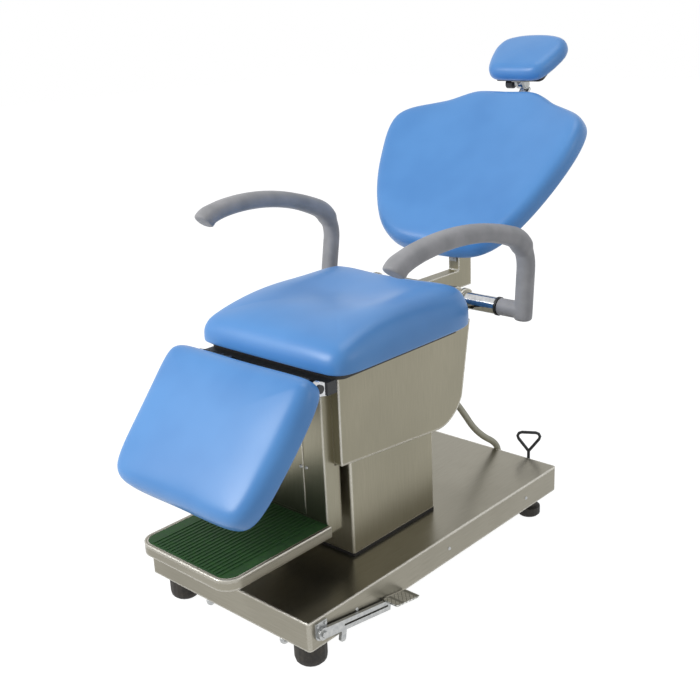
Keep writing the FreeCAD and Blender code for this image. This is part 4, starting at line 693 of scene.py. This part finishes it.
def fill_with_pressure(pad: Piece, held: int, pressure: float, cap: float) -> None:
    """Swells a pad with a short cloth simulation and keeps the result in its mesh.

    Args:
        pad: The closed pad.
        held: How many of the first vertices, those on the board, stay where they are.
        pressure: Pressure of the simulation.
        cap: How far a vertex may move, in metres.
    """
    group = pad.vertex_groups.new(name="board")
    group.add(list(range(held)), 1.0, "REPLACE")
    cloth = pad.modifiers.new("fill", "CLOTH")
    settings = cloth.settings
    settings.quality = CLOTH_QUALITY
    settings.mass = CLOTH_MASS
    settings.tension_stiffness = CLOTH_STRETCH
    settings.compression_stiffness = CLOTH_STRETCH
    settings.bending_stiffness = CLOTH_BENDING
    settings.use_pressure = True
    settings.uniform_pressure_force = pressure
    settings.vertex_group_mass = group.name
    settings.effector_weights.gravity = 0.0
    cloth.collision_settings.use_collision = False
    rest = [vertex.co.copy() for vertex in pad.data.vertices]
    scene = bpy.context.scene
    for frame in range(1, CLOTH_FRAMES + 1):
        scene.frame_set(frame)
    swollen = pad.evaluated_get(bpy.context.evaluated_depsgraph_get()).data
    moved = [vertex.co.copy() for vertex in swollen.vertices]
    pad.modifiers.remove(cloth)
    pad.vertex_groups.clear()
    shifts = [end - start for start, end in zip(rest, moved)]
    shifts = [shift * min(1.0, cap / max(shift.length, 1e-9)) for shift in shifts]
    for vertex, start, shift in zip(pad.data.vertices, rest, evened(pad.data, shifts, EVEN_ROUNDS)):
        vertex.co = start + shift
    scene.frame_set(1)


def seen_ray(tree: Tree) -> Socket:
    """Returns 1 for a ray from the camera, in a mirror or through glass, and 0 for any other."""
    path = add_node(tree, "LightPath")
    seen = path.outputs["Is Camera Ray"]
    for kind in ("Is Glossy Ray", "Is Transmission Ray"):
        seen = add_node(tree, "Math", {0: seen, 1: path.outputs[kind]}, operation="MAXIMUM").outputs["Value"]
    return seen


@dataclass
class Studio:
    """The camera of the photograph, a pale floor and soft lamps."""

    azimuth: float = 42.9
    elevation: float = 18.5
    roll: float = -2.5
    distance: float = 2636.0
    target: Triple = (-52.8, -81.4, 556.0)
    lens: float = 52.66
    sensor: float = 36.0
    farthest: float = 100.0
    floor_size: float = 30.0
    paper: str = "#CFCFCF"
    paper_glow: float = 1.75
    glow_share: float = 0.55
    sky: str = "#F6F9FF"
    sky_strength: float = 0.38
    # Each lamp has a name, a place and a width in metres, and its watts.
    lamps: Sequence[tuple[str, Vector, float, float]] = (
        ("key_lamp", Vector((-1.4, -3.0, 2.3)), 1.6, 66.0),
        ("top_lamp", Vector((0.3, 0.4, 3.4)), 1.8, 13.0),
        ("side_lamp", Vector((3.0, 0.8, 1.8)), 1.4, 7.0),
    )
    lamp_aim: Sequence[float] = (0.0, 0.0, 0.7)

    def camera(self) -> None:
        """Adds the camera."""
        az, el, roll = (math.radians(angle) for angle in (self.azimuth, self.elevation, self.roll))
        back = Vector((math.sin(az) * math.cos(el), -math.cos(az) * math.cos(el), math.sin(el)))
        level_right = Vector((math.cos(az), math.sin(az), 0.0))
        level_up = back.cross(level_right)
        right = level_right * math.cos(roll) + level_up * math.sin(roll)
        up = level_up * math.cos(roll) - level_right * math.sin(roll)
        data = bpy.data.cameras.new("camera")
        data.lens = self.lens
        data.sensor_width = self.sensor
        data.clip_end = self.farthest
        camera = bpy.data.objects.new("camera", data)
        turn = Matrix((right, up, back)).transposed().to_4x4()
        place = Vector(self.target) * MM + back * self.distance * MM
        camera.matrix_world = Matrix.Translation(place) @ turn
        bpy.context.collection.objects.link(camera)
        bpy.context.scene.camera = camera

    def floor(self) -> None:
        """Adds the pale floor."""
        mesh = bmesh.new()
        bmesh.ops.create_grid(mesh, x_segments=2, y_segments=2, size=self.floor_size / 2)
        floor = as_object(mesh, "studio_floor")
        material = bpy.data.materials.new("studio_paper")
        material.use_nodes = True
        tree = material.node_tree
        tree.nodes.clear()
        paper = add_node(tree, "BsdfDiffuse", {"Color": linear(self.paper)})
        glow = add_node(tree, "Emission", {"Color": linear("#FFFFFF"), "Strength": self.paper_glow})
        share = add_node(tree, "Math", {0: seen_ray(tree), 1: self.glow_share}, operation="MULTIPLY")
        shares = {0: share.outputs["Value"], 1: paper.outputs[0], 2: glow.outputs[0]}
        mixed = add_node(tree, "MixShader", shares)
        add_node(tree, "OutputMaterial", {"Surface": mixed.outputs[0]})
        floor.data.materials.append(material)

    def world(self) -> None:
        """Lights the scene evenly and shows white behind it."""
        world = bpy.data.worlds.new("studio_air")
        world.use_nodes = True
        tree = world.node_tree
        tree.nodes.clear()
        soft = add_node(tree, "Background", {"Color": linear(self.sky), "Strength": self.sky_strength})
        white = add_node(tree, "Background", {"Color": linear("#FFFFFF"), "Strength": 1.0})
        mixed = add_node(tree, "MixShader", {0: seen_ray(tree), 1: soft.outputs[0], 2: white.outputs[0]})
        add_node(tree, "OutputWorld", {"Surface": mixed.outputs[0]})
        bpy.context.scene.world = world

    def light(self) -> None:
        """Adds the soft round lamps, all turned to the seat."""
        for name, place, width, watts in self.lamps:
            data = bpy.data.lights.new(name, "AREA")
            data.shape = "DISK"
            data.size = width
            data.energy = watts
            lamp = bpy.data.objects.new(name, data)
            lamp.location = place
            lamp.rotation_euler = (Vector(self.lamp_aim) - place).to_track_quat("-Z", "Y").to_euler()
            bpy.context.collection.objects.link(lamp)

    def build(self) -> None:
        """Sets up everything that isn't the chair."""
        bpy.context.scene.view_settings.view_transform = "Standard"
        self.camera()
        self.floor()
        self.world()
        self.light()
        LOG.info("studio")


@dataclass
class ConduitHose:
    """The corrugated conduit that carries the lift's wiring from the seat unit to the base."""

    shift_y: float = -102.1
    points: Sequence[Triple] = (
        (72.0, 212.0, 372.0),
        (72.0, 292.0, 364.0),
        (70.0, 344.0, 304.0),
        (68.0, 391.0, 244.0),
        (66.0, 446.0, 196.0),
        (64.0, 501.0, 161.0),
        (63.0, 527.0, 127.0),
        (62.0, 530.0, 88.0),
    )
    radius: float = 9.5
    groove: float = 3.0
    # Such hose has rings near 5 mm apart; they are drawn coarser so that they show.
    pitch: float = 8.0
    ring_steps: int = 4
    sides: int = 20

    def route(self) -> list[Vector]:
        """Returns places along the smooth route, close together."""
        data = bpy.data.curves.new("conduit_route", "CURVE")
        data.dimensions = "3D"
        data.resolution_u = 40
        spline = data.splines.new("NURBS")
        spline.points.add(len(self.points) - 1)
        for point, (x, y, z) in zip(spline.points, self.points):
            point.co = (x * MM, (y + self.shift_y) * MM, z * MM, 1.0)
        spline.order_u = 3
        spline.use_endpoint_u = True
        guide = bpy.data.objects.new("conduit_route", data)
        bpy.context.collection.objects.link(guide)
        bpy.context.view_layer.update()
        line = bpy.data.meshes.new_from_object(guide.evaluated_get(bpy.context.evaluated_depsgraph_get()))
        places = [vertex.co.copy() for vertex in line.vertices]
        bpy.data.objects.remove(guide)
        bpy.data.meshes.remove(line)
        return places

    def build(self) -> Piece:
        """Builds the corrugated tube along the route."""
        places = self.route()
        lengths = [0.0]
        for before, after in zip(places, places[1:]):
            lengths.append(lengths[-1] + (after - before).length)
        total = lengths[-1]
        rings_wanted = int(total / (self.pitch * MM)) * self.ring_steps
        mesh = bmesh.new()
        rings = []
        segment = 0
        for index in range(rings_wanted + 1):
            travelled = total * index / rings_wanted
            while segment < len(lengths) - 2 and lengths[segment + 1] < travelled:
                segment += 1
            share = (travelled - lengths[segment]) / (lengths[segment + 1] - lengths[segment])
            centre = places[segment].lerp(places[segment + 1], share)
            way = (places[segment + 1] - places[segment]).normalized()
            side = way.cross(Vector((1.0, 0.0, 0.0))).normalized()
            other = way.cross(side)
            phase = math.cos(2 * math.pi * index / self.ring_steps)
            radius = (self.radius - self.groove * (0.5 - 0.5 * phase)) * MM
            turns = [2 * math.pi * step / self.sides for step in range(self.sides)]
            rings.append([mesh.verts.new(centre + (side * math.cos(turn) + other * math.sin(turn)) * radius)
                          for turn in turns])
        join_rings(mesh, rings)
        mesh.faces.new(rings[0])
        mesh.faces.new(rings[-1])
        bmesh.ops.recalc_face_normals(mesh, faces=mesh.faces)
        hose = as_object(mesh, "conduit_hose")
        shade_smooth(hose)
        hose.data.materials.append(PALE_NYLON.material())
        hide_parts("conduit")
        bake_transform(hose)
        LOG.info("conduit %.3f m", total)
        return hose


def dress(frame: dict[str, Any], finishes: dict[str, Finish]) -> None:
    """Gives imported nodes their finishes.

    Args:
        finishes: Node name to finish.
    """
    for node, finish in finishes.items():
        shown = frame["nodes"][node]
        material = finish.material()
        if not shown.data.materials:
            shown.data.materials.append(material)
        for index in range(len(shown.data.materials)):
            shown.data.materials[index] = material
        LOG.info("node %s in %s", node, finish.name)


@dataclass
class BaseUnit:
    """The flat base with its feet, pedal, loop and the fixed part of the column."""

    finishes: dict[str, Finish] = field(default_factory=lambda: {
        "base_cover": BASE_STEEL, "base_frame": FRAME_COAT, "base_screws": ZINC, "front_feet": FOOT_RUBBER,
        "rear_feet": FOOT_RUBBER, "foot_washers": ZINC, "transport_balls": ZINC,
        "column_gasket": GASKET_RUBBER, "lower_cover": COVER_STEEL, "lift_outer_tube": FRAME_COAT,
        "glide_pads": PALE_NYLON, "flange_bolts": ZINC, "lift_motor": BLACK_ABS, "control_box": BLACK_ABS,
        "rear_junction": BLACK_ABS, "loop_bracket": ZINC, "pull_loop": FRAME_COAT, "pedal_pivot": ZINC,
        "pedal_bolts": ZINC, "pedal_lever": ZINC, "pedal_pad": TREAD,
    })

    def build(self, frame: dict[str, Any]) -> None:
        """Dresses the base."""
        dress(frame, self.finishes)
        ConduitHose().build()


@dataclass
class SeatUnit:
    """The lifting covers, the footrest and the seat."""

    width: float = 476.0
    front: float = -429.1
    rear: float = 73.9
    bottom: float = 640.0
    front_height: float = 60.0
    crest: float = 42.0
    crest_at: float = 0.55
    crest_power: float = 2.2
    side_fall: float = 12.0
    side_power: int = 5
    rear_fall: float = 4.0
    rear_from: float = 0.8
    rear_reach: float = 0.2
    dish: float = 24.0
    dish_half_width: float = 125.0
    dish_at: float = 0.58
    dish_reach: float = 0.27
    finishes: dict[str, Finish] = field(default_factory=lambda: {
        "lift_inner_tube": ZINC, "upper_cover": COVER_STEEL, "panel_screws": ZINC, "upper_gland": BLACK_ABS,
        "carrier_panel": FRONT_STEEL, "front_plate": FRONT_STEEL, "footrest_tray": BASE_STEEL,
        "footrest_mat": MAT_RUBBER, "footrest_brackets": ZINC, "seat_frame": FRAME_COAT,
        "seat_board": STAINED_PLY, "cross_tube": CHROME, "tube_saddles": COVER_STEEL,
        "arm_collars": BLACK_ABS, "arm_pins": ZINC, "leg_brackets": CHROME, "leg_shaft": FRAME_COAT,
        "back_drive_housing": BLACK_ABS, "back_drive_rod": CHROME, "leg_drive_housing": BLACK_ABS,
        "leg_drive_rod": CHROME,
    })

    def relief(self, x: float, y: float) -> float:
        """Raises the seat to the rear and hollows its middle.

        Args:
            x: Place across.
            y: Place along, in the frame's axes.

        Returns:
            The height to add. Shares along the seat run from 0 at its front to 1 at its rear.
        """
        along = min(1.0, max(0.0, (y - self.front) / (self.rear - self.front)))
        crest = self.crest * (1 - max(0.0, 1 - along / self.crest_at) ** self.crest_power)
        side_fall = self.side_fall * min(1.0, abs(x) * 2 / self.width) ** self.side_power
        rear_fall = self.rear_fall * max(0.0, (along - self.rear_from) / self.rear_reach) ** 2
        wide = math.exp(-(x / self.dish_half_width) ** 4)
        dish = self.dish * wide * math.exp(-((along - self.dish_at) / self.dish_reach) ** 2)
        return crest - side_fall - rear_fall - dish

    def cushion(self) -> Cushion:
        """Returns the seat cushion."""
        half = self.width / 2
        outline = [
            (0.0, self.front - 1), (half - 62, self.front), (half - 17, self.front + 9),
            (half - 2, self.front + 36), (half + 2, self.front + 100), (half + 2, self.rear - 110),
            (half - 1, self.rear - 52), (half - 16, self.rear - 14), (half - 62, self.rear + 1),
            (0.0, self.rear + 2),
        ]
        return Cushion(
            name="seat_pad", node="seat_cushion", body="lift", half_outline=outline, back=self.bottom,
            face=self.bottom + self.front_height, pivot=Vector((0.0, 0.0, 0.0)), slope=0.0,
            front_round=35.0, back_round=6.0, crown=0.0, relief=self.relief,
        )

    def build(self, frame: dict[str, Any]) -> None:
        """Dresses the unit and adds the seat pad."""
        dress(frame, self.finishes)
        self.cushion().build()


def hinge_place(frame: dict[str, Any], joint: str) -> Vector:
    """Returns a joint's place from the record, in metres."""
    for entry in frame["record"]["behaviour"]["joints"]:
        if entry["name"] == joint:
            return Vector(entry["pos_m"])
    raise KeyError(joint)


@dataclass
class BackUnit:
    """The reclining back."""

    recline: float = 44.0
    start: float = 112.0
    face: float = 52.0
    thickness: float = 58.0
    hollow_radius: float = 1150.0
    outline: Sequence[Pair] = (
        (0.0, 0.0), (104.0, 3.0), (162.0, 23.0), (206.0, 62.0), (249.0, 130.0), (284.0, 214.0),
        (307.0, 300.0), (313.0, 360.0), (304.0, 402.0), (270.0, 437.0), (218.0, 464.0), (170.0, 485.0),
        (128.0, 510.0), (84.0, 527.0), (0.0, 529.0),
    )
    finishes: dict[str, Finish] = field(default_factory=lambda: {
        "back_carrier": COVER_STEEL, "back_bolts": ZINC, "back_board": STAINED_PLY, "headrest_guide": ZINC,
        "headrest_clamp": BLACK_ABS,
    })

    def build(self, frame: dict[str, Any]) -> None:
        """Dresses the back and adds its pad."""
        dress(frame, self.finishes)
        half = [(x, self.start + s) for x, s in self.outline]
        Cushion(
            name="back_pad", node="back_cushion", body="back", half_outline=half,
            back=self.face - self.thickness, face=self.face, pivot=hinge_place(frame, "back_recline"),
            slope=90.0 - self.recline, hollow_radius=self.hollow_radius, front_round=26.0, back_round=12.0,
            crown=4.0, segments=220,
        ).build()


@dataclass
class Headrest:
    """The small padded headrest on its bar."""

    tilt: float = 57.0
    face: float = 74.5
    thickness: float = 46.0
    start: float = -29.0
    outline: Sequence[Pair] = (
        (0.0, -3.0), (56.0, -2.0), (82.0, 8.0), (97.0, 34.0), (108.0, 72.0), (112.0, 110.0), (97.0, 146.0),
        (54.0, 164.0), (0.0, 169.0),
    )
    finishes: dict[str, Finish] = field(default_factory=lambda: {
        "headrest_bar": CHROME, "headrest_fork": ZINC, "headrest_knob": BLACK_ABS,
        "headrest_board": STAINED_PLY,
    })

    def build(self, frame: dict[str, Any]) -> None:
        """Dresses the headrest and adds its pad."""
        dress(frame, self.finishes)
        half = [(x, self.start + s) for x, s in self.outline]
        Cushion(
            name="headrest_pad", node="headrest_cushion", body="headrest", half_outline=half,
            back=self.face - self.thickness, face=self.face, pivot=hinge_place(frame, "headrest_tilt"),
            slope=90.0 - self.tilt, front_round=22.0, back_round=14.0, crown=3.0, segments=140,
            inner_rings=14,
        ).build()


@dataclass
class LegRest:
    """The padded leg rest that hangs from the front of the seat."""

    hang: float = 49.0
    start: float = -3.0
    length: float = 350.0
    top_half: float = 238.0
    bottom_half: float = 229.0
    face: float = 77.0
    thickness: float = 56.0
    finishes: dict[str, Finish] = field(default_factory=lambda: {
        "leg_frame": FRAME_COAT, "leg_board": STAINED_PLY,
    })

    def build(self, frame: dict[str, Any]) -> None:
        """Dresses the leg rest and adds its pad."""
        dress(frame, self.finishes)
        near = -self.start
        far = near - self.length
        half = [
            (0.0, far - 2), (self.bottom_half - 76, far - 2), (self.bottom_half - 21, far + 13),
            (self.bottom_half, far + 58), (self.top_half - 1, far + 140), (self.top_half + 2, near - 120),
            (self.top_half, near - 46), (self.top_half - 12, near - 11), (self.top_half - 52, near + 1),
            (0.0, near + 1),
        ]
        Cushion(
            name="leg_pad", node="leg_cushion", body="leg", half_outline=half,
            back=self.face - self.thickness, face=self.face, pivot=hinge_place(frame, "leg_raise"),
            slope=self.hang, front_round=27.0, back_round=11.0, crown=3.0,
        ).build()


def baked(piece: Piece) -> None:
    """Keeps what the piece's modifiers make in its own mesh and drops them."""
    bpy.context.view_layer.update()
    made = bpy.data.meshes.new_from_object(piece.evaluated_get(bpy.context.evaluated_depsgraph_get()))
    piece.modifiers.clear()
    piece.data = made


@dataclass
class Armrest:
    """One flip-up arm: a foam skin over a bent tube, thicker along the grip and cut flat at its tip."""

    side: float
    node: str
    body: str
    lift: float = 0.0
    pivot_y: float = 139.9
    pivot_z: float = 670.0
    across: float = 327.0
    heading: float = 85.4
    foot: float = 25.0
    post_length: float = 103.0
    bends: Sequence[Pair] = ((90.0, 75.3), (690.0, 28.3), (380.0, 9.8), (40.0, 33.0))
    post_radius: float = 21.8
    grip_across: float = 27.0
    grip_up: float = 22.0
    tip_up: float = 25.0
    grip_start: float = 178.0
    grip_rise: float = 14.0
    swell: float = 3.0
    slim_after: float = 40.0
    slim_over: float = 120.0
    flare_length: float = 46.0
    flare_power: float = 1.5
    # Powers under 1 square a round section off: at its sides, on top and beneath.
    side_power: float = 0.88
    top_power: float = 0.92
    under_power: float = 0.8
    step: float = 6.0
    sides: int = 28
    edge: float = 5.5
    foot_edges: float = 1.6
    # Degrees round the rounded edge of each end where a section stands.
    foot_turns: Sequence[float] = (75.0, 50.0, 25.0)
    tip_turns: Sequence[float] = (30.0, 60.0, 85.0)
    inward: float = 14.0
    hub_beyond: float = 4.0
    hub_rings: int = 14
    bore_radius: float = 12.3
    bore_length: float = 116.0
    bore_sides: int = 48
    voxel: float = 2.4
    soften_rounds: int = 6

    def line(self) -> list[Triple]:
        """Returns places along the arm's middle: across Y, up Z and heading in radians."""
        way = math.radians(self.heading)
        y = self.pivot_y - self.foot * math.cos(way)
        z = self.pivot_z - self.foot * math.sin(way)
        places = [(y, z, way)]
        runs = [(0.0, self.foot + self.post_length)] + list(self.bends)
        for radius, amount in runs:
            length = math.radians(amount) * radius if radius else amount
            count = max(2, round(length / self.step))
            turn = math.radians(amount) / count if radius else 0.0
            for _ in range(count):
                chord = 2 * radius * math.sin(turn / 2) if radius else length / count
                y += chord * math.cos(way + turn / 2)
                z += chord * math.sin(way + turn / 2)
                way += turn
                places.append((y, z, way))
        return places

    def half_sizes(self, travelled: float, total: float) -> Pair:
        """Returns the section's half width and half height at a distance along the arm."""
        grip = min(1.0, max(0.0, (travelled - self.grip_start) / self.grip_rise))
        slim = min(1.0, max(0.0, (travelled - self.grip_start - self.slim_after) / self.slim_over))
        flare = max(0.0, 1 - (total - travelled) / self.flare_length)
        wide = self.post_radius + grip * (self.grip_across - self.post_radius)
        tall = self.post_radius + grip * self.swell - slim * (self.post_radius + self.swell - self.grip_up)
        return wide, tall + flare ** self.flare_power * (self.tip_up - self.grip_up)

    def section(self, place: Triple, sizes: Pair, shrink: float,
                inward: float) -> list[Vector]:
        """Returns the corners of one section, a little flatter beneath than on top."""
        y, z, way = place
        outward = Vector((0.0, math.sin(way), -math.cos(way)))
        corners = []
        for index in range(self.sides):
            angle = 2 * math.pi * index / self.sides
            cosine, sine = math.cos(angle), math.sin(angle)
            power = self.top_power if sine > 0 else self.under_power
            wide = (sizes[0] - shrink) * math.copysign(abs(cosine) ** self.side_power, cosine)
            tall = (sizes[1] - shrink) * math.copysign(abs(sine) ** power, sine)
            corners.append(Vector((self.across - inward + wide, y, z)) + outward * tall)
        return corners

    def sleeve(self, mesh: Drawing) -> None:
        """Adds the post and the grip to the mesh, with rounded ends."""
        line = self.line()
        lengths = [0.0]
        for before, after in zip(line, line[1:]):
            lengths.append(lengths[-1] + math.hypot(after[0] - before[0], after[1] - before[1]))
        total = lengths[-1]
        rings: list[list[Vector]] = []
        foot_round = self.edge * self.foot_edges
        for turn in self.foot_turns:
            angle = math.radians(turn)
            rings.append(self.section(self.moved(line[0], -foot_round * math.sin(angle) + foot_round),
                                      self.half_sizes(0.0, total), foot_round * (1 - math.cos(angle)), 0.0))
        for place, travelled in zip(line, lengths):
            if travelled < foot_round:
                continue
            share = max(0.0, (self.pivot_y - place[0]) / (self.pivot_y - line[-1][0]))
            inward = self.inward * share ** 2
            rings.append(self.section(place, self.half_sizes(travelled, total), 0.0, inward))
        for turn in self.tip_turns:
            angle = math.radians(turn)
            rings.append(self.section(
                self.moved(line[-1], self.edge * math.sin(angle)), self.half_sizes(total, total),
                self.edge * (1 - math.cos(angle)), self.inward))
        self.skin(mesh, rings)

    @staticmethod
    def moved(place: Triple, distance: float) -> Triple:
        """Returns a place moved straight along its heading."""
        y, z, way = place
        return y + distance * math.cos(way), z + distance * math.sin(way), way

    def hub(self, mesh: Drawing, inner: float) -> None:
        """Adds the short run that slides over the cross tube's pin."""
        rings = []
        turns = [2 * math.pi * index / self.sides for index in range(self.sides)]
        for step in range(self.hub_rings + 1):
            x = inner + (self.across + self.hub_beyond - inner) * step / self.hub_rings
            rings.append([Vector((x, self.pivot_y + self.post_radius * math.cos(turn),
                                  self.pivot_z + self.post_radius * math.sin(turn))) for turn in turns])
        self.skin(mesh, rings)

    def skin(self, mesh: Drawing, rings: list[list[Vector]]) -> None:
        """Joins rings of corners into a closed skin."""
        made = [[mesh.verts.new(self.placed(corner)) for corner in corners] for corners in rings]
        join_rings(mesh, made)
        mesh.faces.new(made[0])
        mesh.faces.new(made[-1])

    def placed(self, corner: Vector) -> Vector:
        """Turns a corner about the pivot by the arm's lift and puts it on its side."""
        pivot = Vector((0.0, self.pivot_y, self.pivot_z))
        turned = Matrix.Rotation(math.radians(-self.lift), 3, "X") @ (corner - pivot) + pivot
        return Vector((turned.x * self.side, turned.y, turned.z)) * MM

    def bore(self, inner: float) -> Piece:
        """Returns the tool that opens the hub for its pin."""
        mesh = bmesh.new()
        radius = self.bore_radius * MM
        bmesh.ops.create_cone(mesh, cap_ends=True, segments=self.bore_sides, radius1=radius, radius2=radius,
                              depth=self.bore_length * MM)
        turn = Matrix.Rotation(math.radians(90), 4, "Y")
        place = Vector((self.side * inner, self.pivot_y, self.pivot_z)) * MM
        bmesh.ops.transform(mesh, matrix=Matrix.Translation(place) @ turn, verts=mesh.verts)
        return as_object(mesh, "bore")

    def build(self) -> None:
        """Builds the arm as one smooth skin and joins it to the frame."""
        low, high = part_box(self.node)
        inner = min(abs(low[0]), abs(high[0])) / MM
        mesh = bmesh.new()
        self.sleeve(mesh)
        self.hub(mesh, inner)
        bmesh.ops.recalc_face_normals(mesh, faces=mesh.faces)
        arm = as_object(mesh, f"{self.body}_skin")
        whole = arm.modifiers.new("whole", "REMESH")
        whole.mode = "VOXEL"
        whole.voxel_size = self.voxel * MM
        soften = arm.modifiers.new("soften", "SMOOTH")
        soften.factor = 0.5
        soften.iterations = self.soften_rounds
        baked(arm)
        tool = self.bore(inner)
        opening = arm.modifiers.new("opening", "BOOLEAN")
        opening.object = tool
        opening.solver = "EXACT"
        baked(arm)
        bpy.data.objects.remove(tool)
        shade_smooth(arm)
        arm.data.materials.clear()
        arm.data.materials.append(ARM_SKIN.material())
        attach(arm, self.body)
        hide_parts(self.node)
        LOG.info("arm %s with %d faces", arm.name, len(arm.data.polygons))


@dataclass
class Armrests:
    """The two flip-up arms. The right one stands a little higher."""

    left: Armrest = field(default_factory=lambda: Armrest(1.0, "armrest_left", "arm_left"))
    right: Armrest = field(default_factory=lambda: Armrest(-1.0, "armrest_right", "arm_right", 5.0))

    def build(self, frame: dict[str, Any]) -> None:
        """Builds both arms."""
        for arm in (self.left, self.right):
            arm.build()


def main() -> None:
    """Builds the scene in order."""
    logging.basicConfig(level=logging.INFO, format="%(message)s")
    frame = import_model()
    Studio().build()
    for unit in (BaseUnit(), SeatUnit(), BackUnit(), Headrest(), LegRest(), Armrests()):
        unit.build(frame)
        LOG.info("unit %s", type(unit).__name__)


if __name__ == "__main__":
    main()
